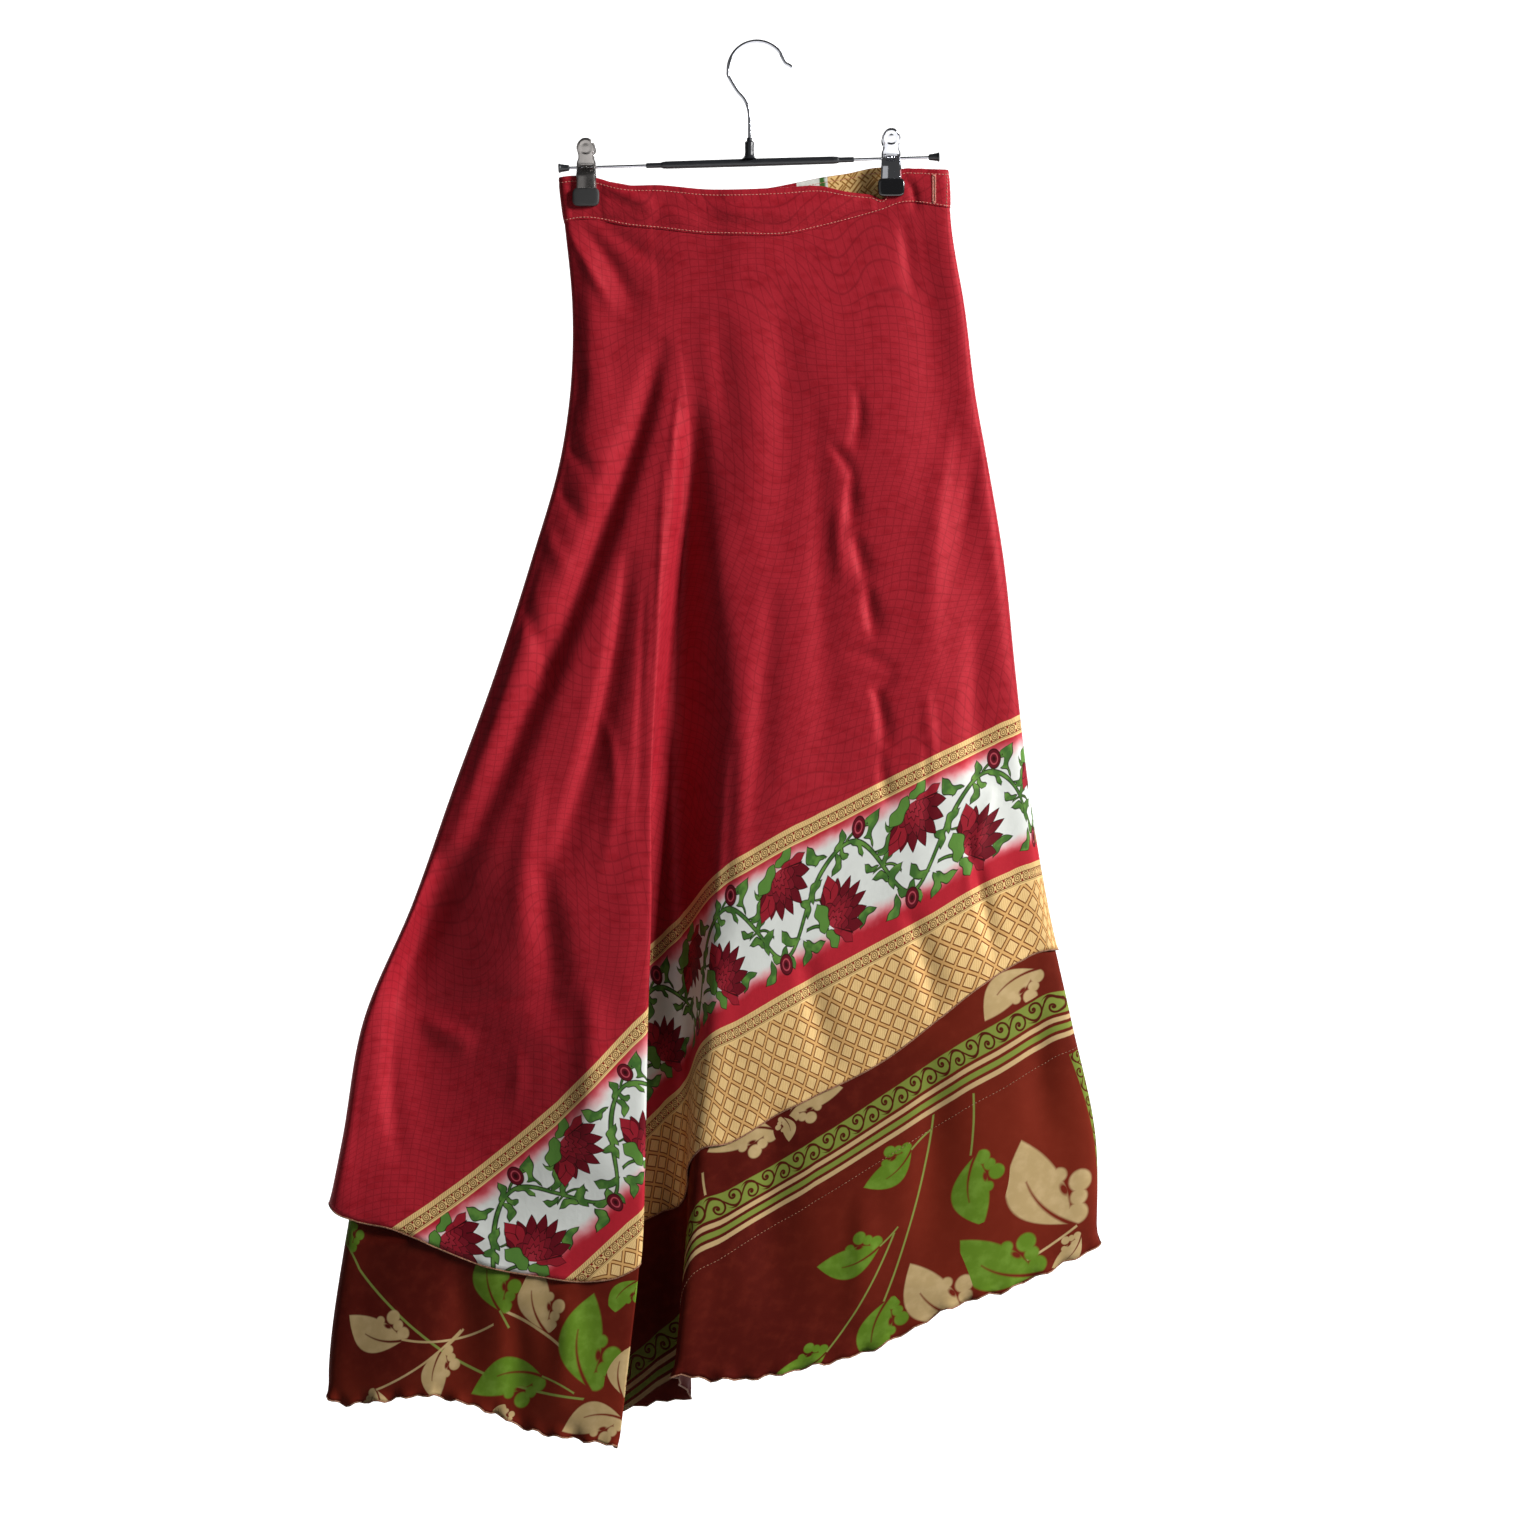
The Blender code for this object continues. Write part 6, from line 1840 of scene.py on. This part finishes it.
def lobed_leaf(finish, local):
    """Distance from a lobed leaf with a dark vein, in parts of its length."""
    x, y, _ = finish.parts(local)
    bow = x - x * x
    shape = abs(y + bow * 0.5) - bow * 1.0
    for cx, cy, size in LEAF_LOBES:
        shape = shape.least(((x - cx) * (x - cx) + (y - cy) * (y - cy)) ** 0.5 - size)
    notch = ((x - 0.33) * (x - 0.33) * 0.25 + (y - 0.095) * (y - 0.095)) ** 0.5 - 0.032
    vein = (abs(y + bow * 0.62) - 0.024 + x * 0.03).most(x - 0.62)
    return shape.most(-notch).most(-vein)


print("leaves:", len(SEEN_LEAVES), "stems:", len(SEEN_STEMS))

# %% Painting the inner layer
STRIPES_MIDDLE, STRIPES_HALF = 32.0, 20.0
SCROLL_BAND, SCROLL_ABOVE_SEAM, SCROLL_HALF_LINE = (-50.0, -33.2), 41.6, 0.85
SIDE_BAND_HALF, SIDE_SCROLL_SCALE = 6.6, 1.2
STRIPES = ((-30.6, -27.0, "bfa274"), (-24.4, -20.2, "79863c"), (-17.6, -13.8, "bfa274"))
across, down = inner_cloth.map_in_mm("cloth")
along, depth = inner_cloth.map_in_mm("border")
to_fold, above_hem = inner_cloth.map_in_mm("side")
(middle_across, reach_across), (middle_down, reach_down) = LEAF_REPEAT_ACROSS, LEAF_REPEAT_DOWN
repeats = ((across - middle_across) / (2 * reach_across) + 0.5).floor()
place = inner_cloth.vector((across - middle_across).wrapped(reach_across) + middle_across,
                           (down + repeats * LEAF_DROP - middle_down).wrapped(reach_down) + middle_down)
choices, stems = [], {GREEN: [], TAN: []}
for x0, y0, x1, y1, side, kind in SEEN_LEAVES:
    local = local_place(inner_cloth, place, print_place(x0, y0), print_place(x1, y1), side, kind)
    choices.append((local, (0.45, 0.0, kind)))
nearest = nearest_place(inner_cloth, choices)
leaf = lobed_leaf(inner_cloth, nearest).inside(0.012)
kind = inner_cloth.parts(nearest)[2]
for x0, y0, x1, y1, bow, half, stem_kind in SEEN_STEMS:
    stem = stem_distance(inner_cloth, place, print_place(x0, y0), print_place(x1, y1), bow, half)
    stems[stem_kind].append(stem)
greens, tans = least_of(stems[GREEN]), least_of(stems[TAN])

field = inner_cloth.vector(across * MM, down * MM)
cloud = inner_cloth.noise(field, 3.2, 2.0)
grain = inner_cloth.noise(field, 90.0, 3.0)
brown = inner_cloth.coats(dye("4f1712"), (cloud.ramp(0.4, 0.66), dye("6e2619")),
                          (grain.ramp(0.4, 0.8) * 0.25, dye("7c3022")))
moss = inner_cloth.coats(dye("5d7d26"), (grain.ramp(0.4, 0.7) * 0.6, dye("74963a")))
tan = inner_cloth.coats(dye("b49a6c"), (grain.ramp(0.4, 0.7) * 0.6, dye("c8ad80")))
side_across = to_fold + (above_hem + 160.0) * 0.12 - 7.5
free = (abs(depth + STRIPES_MIDDLE) - STRIPES_HALF).over(0.0)
colour = inner_cloth.coats(
    brown, (greens.inside(0.35) * free, dye("7d8a44")), (tans.inside(0.35) * free, tan),
    (leaf * (1.0 - kind) * free, tan), (leaf * kind * free, moss))
band = band_mask(depth, *SCROLL_BAND)
scroll = scroll_distance(along, depth + SCROLL_ABOVE_SEAM) - SCROLL_HALF_LINE
colour = inner_cloth.coats(colour, (band, dye("79863c")), (scroll.inside(0.3) * band, dye("4a1a10")))
for low, high, code in STRIPES:
    colour = inner_cloth.coats(colour, (band_mask(depth, low, high), dye(code)))
side_band = band_mask(side_across, -SIDE_BAND_HALF, SIDE_BAND_HALF) * depth.over(0.0)
side_scroll = scroll_distance(above_hem * SIDE_SCROLL_SCALE, side_across * SIDE_SCROLL_SCALE)
side_lines = (side_scroll - SCROLL_HALF_LINE).inside(0.3)
colour = inner_cloth.coats(colour, (side_band, dye("6d7c34")), (side_lines * side_band, dye("4a1a10")))
soft = inner_cloth.noise(field, 26.0, 3.0, 0.5)
inner_cloth.set(base_color=colour, roughness=0.7, specular_ior_level=0.08, specular_tint=(1.0, 0.7, 0.6))
inner_cloth.bump(soft, 0.3, 0.002)
print("inner layer's nodes:", len(inner_cloth.tree.nodes))

# %% [markdown]
# ## The waistband's cloth
# The band's outside is the same red satin. Its inside is pieced from leftovers, and where the overlap's end
# stands above the seen side three of them show: a red piece, a bit of the white flower cloth, and a tan one
# printed with a key pattern.

# %% The band's two sides
def print_length(across):
    """Length along the overlap's band at a place across."""
    place = np.array([strip_place(across, BAND_LEVEL, "over")])
    return float(length_along(place, np.array([BAND_LEVEL]))[0])


TAN_PIECE, WHITE_PIECE = (print_length(126.0), print_length(63.0)), (print_length(63.0), print_length(35.7))
KEY_CELL, KEY_HALF_PITCH = 9.5, 1.85
across, from_top = band_cloth.map_in_mm("band")
ground, net = red_ground(band_cloth, across, from_top)
place = band_cloth.vector(across * MM, from_top * MM)
inside = (from_top + 0.6).inside(0.3)
p, q = (across + from_top) * DIAGONAL, (across - from_top) * DIAGONAL
cell = ((p / KEY_CELL).floor() + (q / KEY_CELL).floor()).wrapped(1.0)
pick = band_cloth.add("ShaderNodeMix", {}, {0: abs(cell), 2: p, 3: q})
bars = abs(abs(p.wrapped(KEY_CELL / 2)) - 4.4) - 0.35
keys = (abs(pick.wrapped(KEY_HALF_PITCH)) - 0.6).least(bars).inside(0.3)
blots = band_cloth.noise(place, 60.0, 2.0)
green_bit = (abs(across - WHITE_PIECE[0] - 5.0) - 4.0 + (blots - 0.5) * 14.0).inside(0.8)
tan_piece = band_mask(across, *TAN_PIECE) * inside
white_piece = band_mask(across, *WHITE_PIECE) * inside
colour = band_cloth.coats(
    ground, (white_piece, dye("dfe0d8")), (white_piece * green_bit, dye("3f6a34")),
    (tan_piece, dye("efc885")), (tan_piece * keys, dye("98662c")))
crease = band_cloth.noise(band_cloth.vector(across * 0.0006, from_top * 0.001), 90.0, 3.0, 0.6)
band_cloth.set(base_color=colour, **SATIN)
band_cloth.bump(crease - net * 0.03, 0.5, 0.002)
print("pieces inside the band:", [round(value) for value in (*TAN_PIECE, *WHITE_PIECE)])

# %% Threads
for thread, scale, dark, light, roughness in ((edge_thread, 900.0, "6e4630", "a5765a", 0.75),
                                              (stitch_thread, 700.0, "c87868", "e09a8a", 0.6)):
    winding = thread.noise(thread.object_place(), scale, 2.0).ramp(0.4, 0.6)
    thread.set(base_color=thread.coats(dye(dark), (winding, dye(light))), roughness=roughness)
print("threads wound and twisted")

# %% [markdown]
# ## Metal, plastic and rubber
# The hook and bar are chromed wire. The left clip is rougher than the right one, and its steel is painted
# darker as painted shade; the two dipped jaws differ in roughness too: one matte, one glossy.

# %% Hanger finishes
HANGER_FINISHES = (
    # finish, colour, metallic, scale of the wear, least and most roughness, coat
    (chrome, (0.5, 0.51, 0.55), 1.0, 140.0, (0.06, 0.16), 0.0),
    (black_plastic, (0.013, 0.014, 0.017), 0.0, 220.0, (0.28, 0.46), 0.0),
    # The left clip's darker steel colour is painted shade; its higher roughness is its own.
    (clip_steel["left"], (0.25, 0.235, 0.225), 1.0, 160.0, (0.2, 0.34), 0.0),
    (clip_steel["right"], (0.62, 0.63, 0.67), 1.0, 160.0, (0.05, 0.12), 0.0),
    (black_rubber["left"], (0.012, 0.012, 0.012), 0.0, 300.0, (0.5, 0.7), 0.0),
    (black_rubber["right"], (0.008, 0.008, 0.009), 0.0, 300.0, (0.1, 0.2), 0.5),
)
for finish, colour, metallic, scale, roughness, coat in HANGER_FINISHES:
    worn = finish.noise(finish.object_place(), scale, 3.0).carried("LINEAR", 0.0, 1.0, *roughness)
    finish.set(base_color=colour, metallic=metallic, roughness=worn, coat_weight=coat)
print("hanger finishes:", len(HANGER_FINISHES))

# %% [markdown]
# ## What each sheet of cloth was cut to
# A cloth piece has a size before it is sewn and hung. It is read from the maps here: how long the piece is
# along the strip, how deep it is, and its own area where its edges slant. The band and the ties were cut
# twice as wide, because they are folded.

# %% Flat sizes
def cut_size(piece, map_name):
    """Width, length and area of a sheet laid flat, in metres."""
    layer = piece.data.uv_layers[map_name]
    flat = np.zeros(len(layer.data) * 2)
    layer.data.foreach_get("uv", flat)
    width, length = (float(size) for size in np.ptp(flat.reshape(-1, 2), axis=0))
    area = sum(face.area for face in piece.data.polygons)
    return (width, max(length, area / width)), area


CLIPS_OF = {"back": ("left", "right"), "over": ("right",), "under": ("left",)}
for name, piece in sheets.items():
    kind, stretch = name.split("_")
    flat, area = cut_size(piece, "cloth" if kind in ("outer", "inner") else "band")
    jaws = [f"clip_{side}_{place}_jaw" for side in CLIPS_OF[stretch] for place in ("front", "rear")]
    rests_on = jaws if kind == "band" else [f"band_{stretch}"]
    print(f"{name}: {flat[0]:.3f} x {flat[1]:.3f} m, {area:.3f} square metres")
